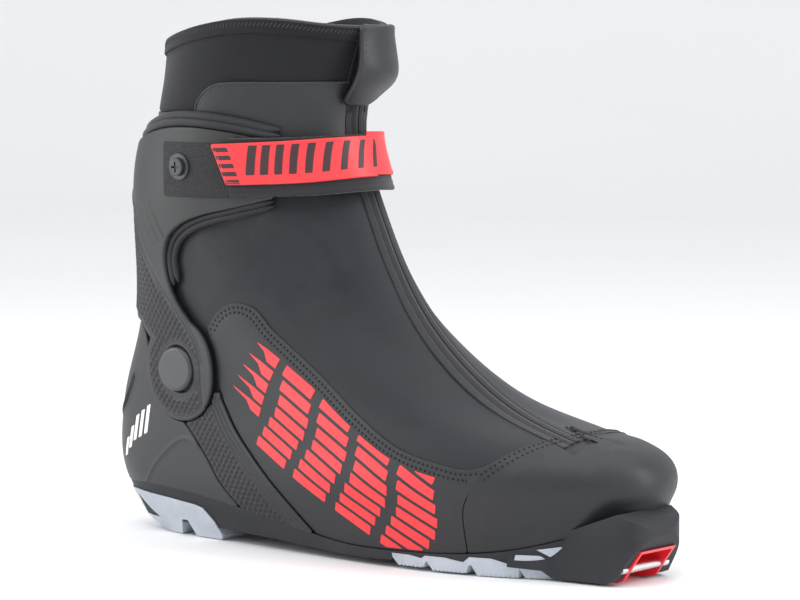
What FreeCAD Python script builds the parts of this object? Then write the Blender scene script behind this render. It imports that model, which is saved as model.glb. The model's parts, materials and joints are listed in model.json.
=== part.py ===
import FreeCAD, Part
import math
import os
import Sketcher
from FreeCAD import Vector

# Cross country ski boot for the skating technique, right foot. Millimetres. Design axes: +X to the toe,
# +Y to the inner (medial) side, +Z up from the ground. The design datum lies on the ground, level with
# the heel's middle. Every sub-part's Placement then moves it so that the origin of the whole boot is the
# middle of its box at ground level.

doc = FreeCAD.newDocument("CrossCountryBoot")

# --------------------------------------------------------------------------------------------------------
# Driving dimensions
# --------------------------------------------------------------------------------------------------------

DIMENSIONS = (
    ("centre_x", 5.44, "middle of the boot's box from the design datum, along X"),
    ("centre_y", 3.2, "middle of the boot's box from the design datum, along Y"),
    ("shell_thickness", 1.5, "softshell laminate"),
    ("liner_thickness", 1.9, "foam liner"),
    ("layer_gap", 0.15, "clearance between stacked layers"),
    ("overlay_thickness", 0.9, "moulded film overlays"),
    ("counter_thickness", 1.9, "heel counter and ankle frame over the softshell"),
    ("cuff_inside", 2.5, "inside of the cuff over the softshell"),
    ("cuff_outside", 4.4, "outside of the cuff at its front edges"),
    ("cuff_bulge", 8.2, "outside of the padded cuff behind the calf"),
    ("collar_thickness", 3.2, "neoprene collar"),
    ("tongue_depth", 5.6, "outside of the tongue under the softshell"),
    ("tongue_thickness", 3.2, "padded tongue"),
    ("strap_inside", 6.4, "inside of the strap over the softshell"),
    ("strap_thickness", 1.2, "strap webbing"),
    ("strap_low", 159.0, "lower edge of the strap"),
    ("strap_high", 186.0, "upper edge of the strap"),
    ("flap_inside", 9.6, "inside of the pull flap over the softshell"),
    ("flap_thickness", 2.0, "pull flap"),
    ("pivot_x", -84.0, "cuff pivot"),
    ("pivot_z", 79.0, "cuff pivot"),
    ("arm_radius", 24.0, "lower end of the cuff's arm round the pivot"),
    ("pin_radius", 4.0, "cuff pivot pin"),
    ("pin_clearance", 0.05, "running clearance of the pivot pin in the cuff"),
    ("cap_radius", 10.2, "pivot cap"),
    ("cap_height", 2.8, "pivot cap"),
    ("cap_seat", 3.4, "floor of the recess for the pivot cap, over the softshell"),
    ("washer_radius", 6.0, "inside washer of the pivot pin"),
    ("bar_x", 147.5, "toe bar axis"),
    ("bar_z", 7.0, "toe bar axis above the ground"),
    ("bar_radius", 2.0, "toe bar"),
    ("bar_length", 34.0, "toe bar with the ends that sit in the toe block"),
    ("pocket_width", 25.2, "toe pocket between its walls"),
    ("pocket_wall", 1.3, "red liner of the toe pocket"),
    ("pocket_back", 131.0, "rear wall of the toe pocket"),
    ("pocket_roof", 15.0, "roof of the toe pocket"),
    ("channel_width", 24.0, "guide channel between the two halves of the forefoot tread"),
    ("zip_half_width", 2.1, "slot for the zip teeth"),
    ("tape_half_width", 8.5, "zip tape"),
    ("slider_width", 7.0, "zip slider"),
    ("slider_height", 9.0, "zip slider"),
    ("slider_depth", 2.6, "zip slider"),
    ("pull_length", 9.0, "zip pull"),
    ("pull_width", 5.0, "zip pull"),
    ("pull_depth", 1.0, "zip pull"),
    ("screw_radius", 4.2, "strap screw head"),
    ("shank_radius", 2.0, "shanks of the strap's screw and rivet"),
    ("screw_washer_radius", 6.2, "cupped washer under the strap screw"),
)

sheet = doc.addObject("Spreadsheet::Sheet", "Dimensions")
for row, (alias, value, meaning) in enumerate(DIMENSIONS, start=1):
    sheet.set(f"A{row}", alias)
    sheet.set(f"B{row}", str(value))
    sheet.set(f"C{row}", meaning)
    sheet.setAlias(f"B{row}", alias)
doc.recompute()


def size(alias):
    """A driving dimension from the sheet."""
    return float(sheet.get(alias))


PIVOT = Vector(size("pivot_x"), 0, size("pivot_z"))

# --------------------------------------------------------------------------------------------------------
# Skin of the boot: one smooth surface that every soft layer is offset from
# --------------------------------------------------------------------------------------------------------

# A section is a plane right across the boot. It has its front and back points (x, z), the y of both, and
# its half widths on the lateral and the medial side at these fractions of the way from back to front.
STATIONS = (0.94, 0.77, 0.52, 0.26, 0.07)
SECTIONS = (
    ((139, 0), (-128, 0), (8, 0), (19, 37, 37, 26, 17), (24, 34, 26, 25, 17)),
    ((146, 26), (-140, 20), (8, 0), (26, 45, 44, 34, 24), (31, 41, 32, 32, 23)),
    ((150, 39), (-145, 35), (8, 0), (28, 49, 48, 36, 26), (34, 45, 35, 34, 25)),
    ((147, 48), (-145, 50), (8, 0), (27, 48, 48, 37, 26), (33, 45, 36, 35, 25)),
    ((134, 54.5), (-142, 66), (7, 0), (25, 45, 47, 37, 26), (29, 42, 37, 36, 25)),
    ((108, 60.5), (-136, 83), (6, 0), (22, 41, 45, 38, 26), (25, 38, 38, 37, 25)),
    ((77, 71), (-130, 100), (5, 0), (18, 35, 42, 38, 26), (20, 33, 38, 38, 25)),
    ((44, 91), (-127, 118), (4, 0), (16, 29, 38, 37, 25), (18, 29, 37, 37, 25)),
    ((18.5, 117), (-125, 136), (2, 0), (15, 26, 35, 35, 24), (16, 27, 35, 35, 24)),
    ((2.5, 147), (-124, 155), (1, 0), (15, 26, 35, 35, 23), (15, 27, 36, 35, 23)),
    ((-9, 174), (-122, 176), (0, 0), (16, 28, 37, 35, 23), (16, 28, 37, 35, 23)),
    ((-12, 199), (-116, 199), (0, 0), (17, 30, 39, 36, 23), (17, 30, 39, 36, 23)),
    ((1, 241), (-109, 236), (0, 0), (19, 34, 43, 39, 24), (19, 34, 43, 39, 24)),
)
LAST = len(SECTIONS) - 1


def section_points(section):
    """Twelve points round a section: front, lateral side to the back, medial side to the front."""
    (front_x, front_z), (back_x, back_z), (front_y, back_y), lateral, medial = section

    def at(fraction, sideways):
        middle = back_y + (front_y - back_y) * fraction
        return Vector(
            back_x + (front_x - back_x) * fraction,
            middle + sideways,
            back_z + (front_z - back_z) * fraction,
        )

    points = [at(1, 0)]
    points += [at(f, -w) for f, w in zip(STATIONS, lateral)]
    points += [at(0, 0)]
    points += [at(f, w) for f, w in zip(reversed(STATIONS), reversed(medial))]
    return points


def section_normal(section):
    """Unit normal of a section's plane, pointing up."""
    (front_x, front_z), (back_x, back_z) = section[:2]
    return Vector(back_z - front_z, 0, front_x - back_x).normalize()


def closed_poles(points):
    """Poles of the closed uniform cubic spline through the points."""
    poles = list(points)
    count = len(points)
    for _ in range(40):
        for i in range(count):
            poles[i] = (points[i] * 6 - poles[i - 1] - poles[(i + 1) % count]) * 0.25
    return poles


def open_poles(points):
    """Poles of the natural uniform cubic spline through the points."""
    poles = list(points)
    for _ in range(40):
        for i in range(1, len(points) - 1):
            poles[i] = (points[i] * 6 - poles[i - 1] - poles[i + 1]) * 0.25
    return poles


def cubic(t):
    """Weights of the four poles about a place t in a span of a uniform cubic spline."""
    return (
        (1 - t) ** 3 / 6,
        (3 * t ** 3 - 6 * t ** 2 + 4) / 6,
        (-3 * t ** 3 + 3 * t ** 2 + 3 * t + 1) / 6,
        t ** 3 / 6,
    )


class Skin:
    """A smooth tube through rings of points, closed round u and open up v."""

    def __init__(self, rings):
        rings = [closed_poles(ring) for ring in rings]
        columns = [open_poles(column) for column in zip(*rings)]
        self.rows = [list(row) for row in zip(*columns)]
        self.count = len(self.rows[0])

    def row(self, j):
        """Row of poles; one past either end is the natural continuation."""
        if j < 0:
            return [a * 2 - b for a, b in zip(self.rows[0], self.rows[1])]
        if j >= len(self.rows):
            return [a * 2 - b for a, b in zip(self.rows[-1], self.rows[-2])]
        return self.rows[j]

    def point(self, u, v):
        span_u = math.floor(u)
        span_v = min(max(math.floor(v), 0), len(self.rows) - 2)
        result = Vector()
        for j, weight_v in enumerate(cubic(v - span_v)):
            row = self.row(span_v + j - 1)
            for i, weight_u in enumerate(cubic(u - span_u)):
                result += row[(span_u + i - 1) % self.count] * (weight_u * weight_v)
        return result

    def normal(self, u, v):
        """Outward unit normal."""
        step = 0.01
        low = max(v - step, 0)
        high = min(v + step, len(self.rows) - 1)
        round_ = self.point(u + step, v) - self.point(u - step, v)
        up = self.point(u, high) - self.point(u, low)
        return up.cross(round_).normalize()

    def solid(self):
        """The closed body under the skin, with a flat face at each end."""
        rows = self.rows
        first = [(a * 2 + b) * (1 / 3) for a, b in zip(rows[0], rows[1])]
        last = [(a * 2 + b) * (1 / 3) for a, b in zip(rows[-1], rows[-2])]
        net = [rows[0], first] + rows[1:-1] + [last, rows[-1]]
        around = list(range(self.count + 1))
        up = list(range(len(rows)))
        surface = Part.BSplineSurface()
        surface.buildFromPolesMultsKnots(
            [list(column) for column in zip(*net)],
            [1] * len(around),
            [4] + [1] * (len(up) - 2) + [4],
            around,
            up,
            True,
            False,
            3,
            3,
        )
        side = surface.toShape()
        ends = [Part.Face(Part.Wire([edge])) for edge in side.Edges if edge.isClosed()]
        shell = Part.Shell([side] + ends)
        shell.sewShape()
        return Part.Solid(shell)


SKIN = Skin([section_points(section) for section in SECTIONS])
RING_STEPS = 24


def offset_skin(offset):
    """The skin moved outwards by a distance, or by a function of the point that gives one."""
    rings = []
    for level, section in enumerate(SECTIONS):
        flat = section_normal(section)
        ring = []
        for k in range(RING_STEPS):
            u = k * 12 / RING_STEPS
            point = SKIN.point(u, level)
            normal = SKIN.normal(u, level)
            if level in (0, LAST):
                normal = (normal - flat * normal.dot(flat)).normalize()
            distance = offset(point) if callable(offset) else offset
            ring.append(point + normal * distance)
        rings.append(ring)
    return Skin(rings)


def cuff_outside(point):
    """The cuff is thickest behind the calf and thins to its front edges and to the pivot."""
    behind = min(max((-48 - point.x) / 60, 0), 1)
    height = math.exp(-((point.z - 158) / 34) ** 2)
    return size("cuff_outside") + (size("cuff_bulge") - size("cuff_outside")) * behind * height


solids = {}


def skin_solid(offset, extra=0.0):
    """The body inside the offset skin. Each is built once."""
    key = (offset, extra)
    if key not in solids:
        if callable(offset):
            solids[key] = offset_skin(lambda point: offset(point) + extra).solid()
        else:
            solids[key] = offset_skin(offset + extra).solid()
    return solids[key]


# --------------------------------------------------------------------------------------------------------
# Outlines
# --------------------------------------------------------------------------------------------------------

WIDE = 90
BELOW_GROUND = -2


def outline_face(items, place):
    """A face from corners (tuples) and smooth runs (lists of tuples), joined by straight lines."""
    edges = []
    ends = []
    for item in items:
        points = [place(a, b) for a, b in (item if isinstance(item, list) else [item])]
        if ends and ends[-1].distanceToPoint(points[0]) > 1e-6:
            edges.append(Part.LineSegment(ends[-1], points[0]).toShape())
        if len(points) > 1:
            curve = Part.BSplineCurve()
            curve.interpolate(points)
            edges.append(curve.toShape())
        ends += [points[0], points[-1]]
    if ends[-1].distanceToPoint(ends[0]) > 1e-6:
        edges.append(Part.LineSegment(ends[-1], ends[0]).toShape())
    return Part.Face(Part.Wire(edges))


def side_prism(*items, low=-WIDE, high=WIDE):
    """A prism across the boot whose outline is drawn in side view, in x and z."""
    face = outline_face(items, lambda x, z: Vector(x, low, z))
    return face.extrude(Vector(0, high - low, 0))


def plan_prism(*items, low=-5, high=260):
    """An upright prism whose outline is drawn from above, in x and y."""
    face = outline_face(items, lambda x, y: Vector(x, y, low))
    return face.extrude(Vector(0, 0, high - low))


LATERAL = {"low": -WIDE, "high": 0}
MEDIAL = {"low": 0, "high": WIDE}

# The zip runs down the middle of the shaft and bears away to the lateral side over the toes.
ZIP_SHAFT_Y = 4.0
ZIP_TURN_X = 15.0
ZIP_END = (118.0, -8.0)
SHAFT_BACK_X = -45.0


def zip_strip(half_width, end_x=ZIP_END[0], start_x=SHAFT_BACK_X):
    """An upright strip along the zip, seen from above."""
    slope = (ZIP_END[1] - ZIP_SHAFT_Y) / (ZIP_END[0] - ZIP_TURN_X)
    end_y = ZIP_SHAFT_Y + slope * (end_x - ZIP_TURN_X)
    return plan_prism(
        (start_x, ZIP_SHAFT_Y - half_width),
        (ZIP_TURN_X, ZIP_SHAFT_Y - half_width),
        (end_x, end_y - half_width),
        (end_x, end_y + half_width),
        (ZIP_TURN_X, ZIP_SHAFT_Y + half_width),
        (start_x, ZIP_SHAFT_Y + half_width),
    )


# Floor of the foot's space on the outsole, and the lip of the outsole round the upper.
FLOOR = [(-152, 15), (-105, 15), (-60, 13.2), (-25, 9.2), (5, 6.5), (40, 6.1), (75, 6.9), (105, 11.5),
    (128, 17)]
FLOOR_FRONT = (166, 20)
LIP = [
    (-152, 21), (-118, 23.2), (-84, 21.7), (-50, 17.5), (-15, 11.9), (14, 7.8), (43, 7.6), (70, 8.6),
    (100, 12.2),
    (120, 17.4), (138, 24), (150, 29),
]
RIM = [(-130, 221), (-108, 227.5), (-90, 231.5), (-68, 236), (-45, 239), (-25, 238.5), (-8, 236), (20, 233)]

# The foot part ends at one slanted line and the shaft starts at another; the ankle's flexing panels lie
# between.
FOOT_TOP_BACK = (-160, 90)
FOOT_TOP_FRONT = (70, 140.5)
SHAFT_FOOT_BACK = (-160, 90.5)
SHAFT_FOOT_FRONT = (70, 190.5)
COLLAR_SEAM = 196.0


def above_floor(raise_by):
    """Everything over the floor of the foot's space, raised."""
    run = [(x, z + raise_by) for x, z in FLOOR]
    front_x, front_z = FLOOR_FRONT
    return side_prism(run, (front_x, front_z + raise_by), (front_x, 260), (-152, 260))


def floor_band(low, high):
    """A band that follows the floor, between two heights over it."""
    lower = [(x, z + low) for x, z in FLOOR]
    upper = [(x, z + high) for x, z in reversed(FLOOR)]
    front_x, front_z = FLOOR_FRONT
    return side_prism(lower, (front_x, front_z + low), (front_x, front_z + high), upper)


def foot_side(raise_by=0.0):
    """Everything below the slanted end of the foot part."""
    (back_x, back_z), (front_x, front_z) = FOOT_TOP_BACK, FOOT_TOP_FRONT
    return side_prism((back_x, -5), (170, -5), (170, 140), (front_x, front_z + raise_by),
        (back_x, back_z + raise_by))


def shaft_side(raise_by=0.0, top=260.0):
    """Everything above the slanted foot of the shaft."""
    (back_x, back_z), (front_x, front_z) = SHAFT_FOOT_BACK, SHAFT_FOOT_FRONT
    return side_prism((back_x, back_z + raise_by), (front_x, front_z + raise_by), (front_x, top),
        (back_x, top))


def flex_zone():
    """The wedge between the foot part and the shaft."""
    gap = size("layer_gap")
    (back_x, back_z), (front_x, front_z) = FOOT_TOP_BACK, FOOT_TOP_FRONT
    top_x, top_z = SHAFT_FOOT_FRONT
    split = -135
    low = back_z + (front_z - back_z) * (split - back_x) / (front_x - back_x) + gap
    high = SHAFT_FOOT_BACK[1] + (top_z - SHAFT_FOOT_BACK[1]) * (split - back_x) / (top_x - back_x) - gap
    return side_prism((split, low), (front_x, front_z + gap), (top_x, top_z - gap), (split, high))


def below_rim(lower_by=0.0):
    """Everything below the collar's rim."""
    run = [(x, z - lower_by) for x, z in RIM]
    return side_prism((-130, -5), run, (20, -5))


def pivot_bore(radius):
    """A cylinder right across the boot on the cuff's pivot."""
    return Part.makeCylinder(radius, 2 * WIDE, PIVOT - Vector(0, WIDE, 0), Vector(0, 1, 0))


# --------------------------------------------------------------------------------------------------------
# Sub-parts
# --------------------------------------------------------------------------------------------------------

NODES = []
SHIFT = Vector(-size("centre_x"), -size("centre_y"), 0)


def biggest(shape, count=1):
    """The largest solids of a shape, without slivers."""
    found = sorted(shape.Solids, key=lambda solid: solid.Volume, reverse=True)
    found = [solid for solid in found[:count] if solid.Volume > 0.5]
    return found[0] if len(found) == 1 else Part.Compound(found)


def add(label, shape, count=1):
    """A sub-part whose shape is worked out from the skin."""
    node = doc.addObject("Part::Feature", label)
    node.Label = label
    node.Shape = biggest(shape, count)
    node.Placement = FreeCAD.Placement(SHIFT, FreeCAD.Rotation())
    NODES.append(node)
    return node


def layer(inner, outer, region, *cuts):
    """The part of the layer between two offsets that lies in a region, less some cuts."""
    shape = skin_solid(outer).common(region)
    shape = shape.cut(skin_solid(inner))
    for cut in cuts:
        shape = shape.cut(cut)
    return shape


def serrated(start, end, height, pitch=2.0, depth=0.7):
    """Points of a lug's bottom from back to front, with small teeth across it, ending at the ground."""
    points = []
    bottom = height or BELOW_GROUND
    count = max(int((end - start) / pitch), 1)
    step = (end - start) / count
    for i in range(count):
        points.append((start + i * step, bottom))
        points.append((start + (i + 0.62) * step, bottom))
        points.append((start + (i + 0.74) * step, height + depth))
        points.append((start + (i + 0.9) * step, height + depth))
    points.append((end, bottom))
    return points


foot_space = skin_solid(0.1).common(above_floor(0))


def heel_tread():
    """Rubber heel block: two lugs with a notch between them, bevelled up behind."""
    profile = side_prism(
        (-146, 18.0), (-140, 12.5), (-121, 4.5), (-107, 0), (-107, BELOW_GROUND), (-98.5, BELOW_GROUND),
        (-94, 7.4),
        (-90, 7.4), (-86.5, BELOW_GROUND), (-71.5, BELOW_GROUND), (-68.5, 2.2), (-71.5, 9), (-76.5, 14.6),
        (-81, 15.8),
        (-100, 17.6), (-125, 19),
    )
    core = Part.makeBox(60, 44, 30, Vector(-125, -22, 6.5))
    return skin_solid(HEEL_TREAD_OUT).common(profile).cut(core).cut(foot_space)


HEEL_TREAD_OUT = 2.3
FOREFOOT_TREAD_OUT = 2.0
OUTSOLE_OUT = 1.6
LUGS = ((44, 57, 1.4, 6.6), (62, 78, 0.6, 7.0), (84, 100, 0, 8.2), (104.5, 119, 0, 10.5))


def forefoot_tread(side):
    """Half of the forefoot tread: lugs on a thin band, and a slanted lug in front of them."""
    bottom = []
    top = []
    for start, end, low, high in LUGS:
        bottom += [(start - 2.5, 4.8)] + serrated(start, end, low) + [(end + 2.2, 4.2)]
        top += [(start - 2.5, high), (start + 7, high), (end, 5.6)]
    profile = side_prism(*bottom, (121.6, 5.4), *reversed(top))
    front_lug = side_prism((111, 13.2), (120.5, 14.8), (124.5, 12), (137, 0.6), (127, 0.4), (118.5, 8.2))
    half = size("channel_width") / 2
    low, high = (-WIDE, -half) if side == "lateral" else (half, WIDE)
    half_space = Part.makeBox(200, high - low, 40, Vector(0, low, -5))
    tread = skin_solid(FOREFOOT_TREAD_OUT).common(profile.fuse(front_lug)).common(half_space)
    return tread.cut(foot_space).cut(pocket_space(-0.1))


def toe_block_prism():
    """Nose of the outsole that holds the toe bar: its outline from above and from the side."""
    plan = plan_prism(
        (98, -30), [(112, -24), (130, -20.5), (146, -19), (154.5, -16), (158, -9), (158.4, 0), (158, 9),
                    (154.5, 17), (146, 22), (130, 28.5), (112, 34)], (98, 38), low=-1, high=40,
    )
    side = side_prism(
        (98, 5), (112, 4), (116.5, 0.8), (142, 0.8), (145.5, 2), (156.2, 17),
        [(158.4, 21), (157.4, 25.2), (153.5, 28)],
        (147, 30.5), (98, 12),
    )
    return plan.common(side)


POCKET_CLIP = 170.0


def pocket_space(inset):
    """The toe pocket, open below and in front; inset shrinks it on every wall."""
    half = size("pocket_width") / 2 - inset
    back = size("pocket_back") + inset
    roof = size("pocket_roof") - inset
    return side_prism(
        (back - 2, -5), (back, 2), (back + 1.5, roof - 3), (back + 5, roof), (POCKET_CLIP, roof),
        (POCKET_CLIP, -5),
        low=-half, high=half,
    )


def outsole(heel, lateral, medial):
    """Outsole with its lip, toe block and toe pocket."""
    body = side_prism(
        LIP, (160, 29), (160, 1), (116, 1), (112, 5.0), (42, 5.0),
            [(40, 3.2), (27, 2.6), (4, 3), (-30, 4.6)],
        (-62, 5.6), (-152, 6.6),
    )
    shape = skin_solid(OUTSOLE_OUT).common(body).fuse(toe_block)
    shape = shape.cut(foot_space).cut(pocket_space(0)).cut(heel).cut(lateral).cut(medial)
    return shape.cut(toe_bar_space())


def toe_bar_space():
    """The space of the toe bar, right through the pocket's walls."""
    start = Vector(size("bar_x"), -size("bar_length") / 2, size("bar_z"))
    return Part.makeCylinder(size("bar_radius"), size("bar_length"), start, Vector(0, 1, 0))


def toe_pocket_liner():
    """Bright liner of the toe pocket, with an edge that stands a little out of the block."""
    edge = side_prism(
        (128, 0.4), (143, 0.4), (146.4, 1.6), (157.2, 16.8), (158.8, 20), (120, 20),
    )
    shape = pocket_space(0).cut(pocket_space(size("pocket_wall"))).common(edge)
    return shape.cut(toe_bar_space())


toe_block = toe_block_prism()
heel_shape = biggest(heel_tread())
lateral_tread = biggest(forefoot_tread("lateral"))
medial_tread = biggest(forefoot_tread("medial"))
add("outsole", outsole(heel_shape, lateral_tread, medial_tread))
add("heel_tread", heel_shape)
add("forefoot_tread_lateral", lateral_tread)
add("forefoot_tread_medial", medial_tread)
add("toe_pocket_liner", toe_pocket_liner())

GAP = size("layer_gap")
SHELL = size("shell_thickness")
LINER = size("liner_thickness")
LINER_OUT = -SHELL - GAP
LINER_IN = LINER_OUT - LINER
FILM = size("overlay_thickness")
COUNTER = size("counter_thickness")

# Inside the sole: stiff shank, insole board and loose footbed.
SHANK_IN = -6.0
shank_zone = side_prism((-112, 0), (112, 0), (112, 40), (-112, 40))
add("shank", skin_solid(SHANK_IN).common(floor_band(0.1, 1.3)).common(shank_zone))
add("insole_board", skin_solid(LINER_OUT).common(floor_band(1.4, 2.9)))
add("footbed", skin_solid(LINER_IN - GAP).common(floor_band(3.0, 6.4)))

# Softshell panels and liner of the foot, split along the zip. The vamp and the heel panel wrap round the
# foot's ends, with a quarter on each flank between them.
teeth_slot = zip_strip(size("zip_half_width"))
pin_hole = pivot_bore(size("pin_radius"))
throat = zip_strip(15, end_x=96)
lower_shell = layer(-SHELL, 0.0, above_floor(0.1).common(foot_side()), teeth_slot, pin_hole)
VAMP_X = 34.0
HEEL_X = -98.0


def shell_panel(start_x, end_x, start_y, end_y):
    """The part of the foot's softshell over a rectangle of the ground, less half a seam on every side."""
    seam = 0.05
    corner = Vector(start_x + seam, start_y + seam, 0)
    return lower_shell.common(Part.makeBox(end_x - start_x - 2 * seam, end_y - start_y - 2 * seam, 200,
        corner))


add("softshell_vamp", shell_panel(VAMP_X, 2 * WIDE, -WIDE, WIDE))
add("softshell_quarter_lateral", shell_panel(HEEL_X, VAMP_X, -WIDE, ZIP_SHAFT_Y))
add("softshell_quarter_medial", shell_panel(HEEL_X, VAMP_X, ZIP_SHAFT_Y, WIDE))
add("softshell_heel", shell_panel(-2 * WIDE, HEEL_X, -WIDE, WIDE))
add("liner_lower", layer(LINER_IN, LINER_OUT, above_floor(3.0).common(foot_side()), throat, pin_hole))
add("ankle_flex_shell", layer(-SHELL, 0.0, flex_zone(), teeth_slot))
add("ankle_flex_liner", layer(LINER_IN, LINER_OUT, flex_zone(), throat))

# Tongue under the zip, and the quick lace over it.
TONGUE_OUT = -size("tongue_depth")
tongue_zone = zip_strip(21, end_x=92).common(below_rim(7)).common(above_floor(20))
add("tongue", layer(TONGUE_OUT - size("tongue_thickness"), TONGUE_OUT, tongue_zone))


def lace_cord(start, end, half=0.8):
    """A straight stretch of lace seen from above."""
    (x0, y0), (x1, y1) = start, end
    along = Vector(x1 - x0, y1 - y0, 0).normalize()
    across = Vector(-along.y, along.x, 0) * half
    corners = [(x0 + across.x, y0 + across.y), (x1 + across.x, y1 + across.y)]
    corners += [(x1 - across.x, y1 - across.y), (x0 - across.x, y0 - across.y)]
    return plan_prism(*corners)


LACE_LOW, LACE_HIGH, LACE_ROWS = 88.0, 34.0, 6
LACE_HALF_WIDTH = 11.5


def lace_place(row, side):
    """Where the lace turns in a loop, seen from above."""
    x = LACE_LOW + (LACE_HIGH - LACE_LOW) * row / (LACE_ROWS - 1)
    slope = (ZIP_END[1] - ZIP_SHAFT_Y) / (ZIP_END[0] - ZIP_TURN_X)
    return (x, ZIP_SHAFT_Y + slope * (x - ZIP_TURN_X) + side * LACE_HALF_WIDTH)


lace_plan = lace_cord(lace_place(0, -1), lace_place(0, 1))
for row in range(LACE_ROWS - 1):
    for side in (-1, 1):
        lace_plan = lace_plan.fuse(lace_cord(lace_place(row, side), lace_place(row + 1, -side)))
LACE_TOP = 178.0
for side in (-1, 1):
    lace_plan = lace_plan.fuse(lace_cord(lace_place(LACE_ROWS - 1, side), (0, ZIP_SHAFT_Y + side * 3)))
    lace_plan = lace_plan.fuse(lace_cord((0.6, ZIP_SHAFT_Y + side * 3), (-32, ZIP_SHAFT_Y + side * 3)))
lace_zone = lace_plan.common(side_prism((-30, 100), (130, 20), (130, LACE_TOP), (-30, LACE_TOP)))
lace_shape = layer(-3.5, -1.9, lace_zone)
add("laces", lace_shape)

loops = []
for row in range(LACE_ROWS):
    for side in (-1, 1):
        x, y = lace_place(row, side)
        block = Part.makeBox(6, 3.4, 200, Vector(x - 3, y + side * 0.9 - 1.7, 20))
        loops.append(layer(-3.6, LINER_OUT, block, lace_shape))
add("lace_loops", Part.Compound([solid for loop in loops for solid in loop.Solids]), count=2 * LACE_ROWS)

# Zip: tape over the slot, teeth in it, and a stop at its lower end.
zip_zone = side_prism((-40, 135), (20, 100), (60, 40), (125, 20), (125, 222), (-40, 222))
add("zip_tape", layer(0.1, 0.65, zip_strip(size("tape_half_width")).common(zip_zone), zip_strip(2.2)),
    count=2)
add("zip_teeth", layer(-SHELL, 1.1, zip_strip(1.95, end_x=116.5).common(zip_zone)))
stop_x, stop_y = ZIP_END
stop_zone = Part.makeBox(4, 11, 60, Vector(stop_x + 0.6, stop_y - 5.9, 30))
add("zip_stop", layer(0.1, 1.5, stop_zone))

# Moulded overlays of the upper.
overlay_top = [
    (-66, 99), (-60, 106.5), (-51.6, 110.6), (-41, 109), (-29, 99.7), (-1.5, 82.8), (26.5, 65.6),
    (50, 53.6),
    (71, 48.4), (85, 46.6), (94, 48.6),
]
toe_edge = [(80, 5), (82.6, 28.5), (87, 36), (94, 42.6), (103, 50), (112, 56), (122, 61.5), (128, 70)]
frame_front = [(-58, 66), (-51, 55), (-39, 42.3), (-22, 26.4), (-9, 14), (-1, 7)]
above_lip = side_prism([(x, z + 0.15) for x, z in LIP], (152, 120), (-152, 120))


def side_overlay(side):
    """Printed film that wraps a flank of the foot, from the ankle to the toe cap."""
    front = [(x + 1.6, z) for x, z in reversed(frame_front)]
    region = side_prism(overlay_top, [(94, 44), (87, 37), (82.2, 28.5), (79.6, 5)], (3, 5), front, **side)
    return layer(0.1, FILM, region.common(above_lip), zip_strip(9), pivot_bore(size("arm_radius") + 0.6))


add("side_overlay_lateral", side_overlay(LATERAL))
add("side_overlay_medial", side_overlay(MEDIAL))
toe_region = side_prism(toe_edge, (170, 70), (170, 5)).common(above_lip)
add("toe_cap", layer(0.1, FILM + 0.4, toe_region, zip_strip(9, end_x=124), toe_block))

# Heel counter and the frame bands that carry the cuff's pivot down to the sole.
counter_front = [(-104.5, 66), (-98, 63.5), (-86.7, 57), (-70.5, 40.5), (-61.6, 28.5), (-46, 14)]
counter_top = [(-160, 94), (-128, 97.5), (-116, 96.5), (-110.5, 90), (-108, 80), (-104.5, 66)]
counter_region = side_prism((-160, 5), (-160, 94), counter_top, counter_front, (-46, 5)).common(above_lip)
arm_space = pivot_bore(size("arm_radius") + 0.45)
insert_strip = side_prism([(-137, 55), (-129, 63), (-122, 74)], [(-119, 72.5), (-126, 61), (-134, 53)])
add("heel_counter", layer(0.1, COUNTER, counter_region, arm_space, insert_strip))
add("heel_counter_insert", layer(0.1, COUNTER + 0.5, insert_strip), count=2)


def frame_band(side):
    """Textured band from the pivot down and forward to the sole."""
    back = [(x + 0.7, z + 0.3) for x, z in counter_front]
    front = [(x + 0.9, z) for x, z in reversed(frame_front)]
    region = side_prism(back, (-46, 3), (0, 3), front, (-58, 70), (-104, 70), **side)
    return layer(0.1, COUNTER + 0.6, region.common(above_lip), arm_space)


add("frame_band_lateral", frame_band(LATERAL))
add("frame_band_medial", frame_band(MEDIAL))

# --------------------------------------------------------------------------------------------------------
# Cuff and shaft
# --------------------------------------------------------------------------------------------------------


def skin_y(x, z, side):
    """Sideways place of the skin on one flank at a given x and z near the ankle."""
    ray = Part.makeLine(Vector(x, 0, z), Vector(x, side * WIDE, z))
    inside = ray.common(skin_solid(0.0))
    return max(abs(inside.BoundBox.YMin), abs(inside.BoundBox.YMax)) * side


def flank_point(x, z, side, offset):
    """Point of the offset skin on one flank at a given x and z, and the outward normal there."""
    best = None
    for i in range(121):
        u = 1 + 4.5 * i / 120 if side < 0 else 11 - 4.5 * i / 120
        for j in range(81):
            v = 9 + 3 * j / 80
            point = SKIN.point(u, v)
            far = (point.x - x) ** 2 + (point.z - z) ** 2
            if best is None or far < best[0]:
                best = (far, u, v)
    point = SKIN.point(best[1], best[2])
    normal = SKIN.normal(best[1], best[2])
    distance = offset(point) if callable(offset) else offset
    return point + normal * distance, normal


def cap_recess(side):
    """Round recess in the cuff that a pivot cap sits in."""
    seat = skin_y(PIVOT.x, PIVOT.z, side) + side * size("cap_seat")
    return Part.makeCylinder(size("cap_radius") + 0.6, 20, Vector(PIVOT.x, seat, PIVOT.z),
        Vector(0, side, 0))


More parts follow.
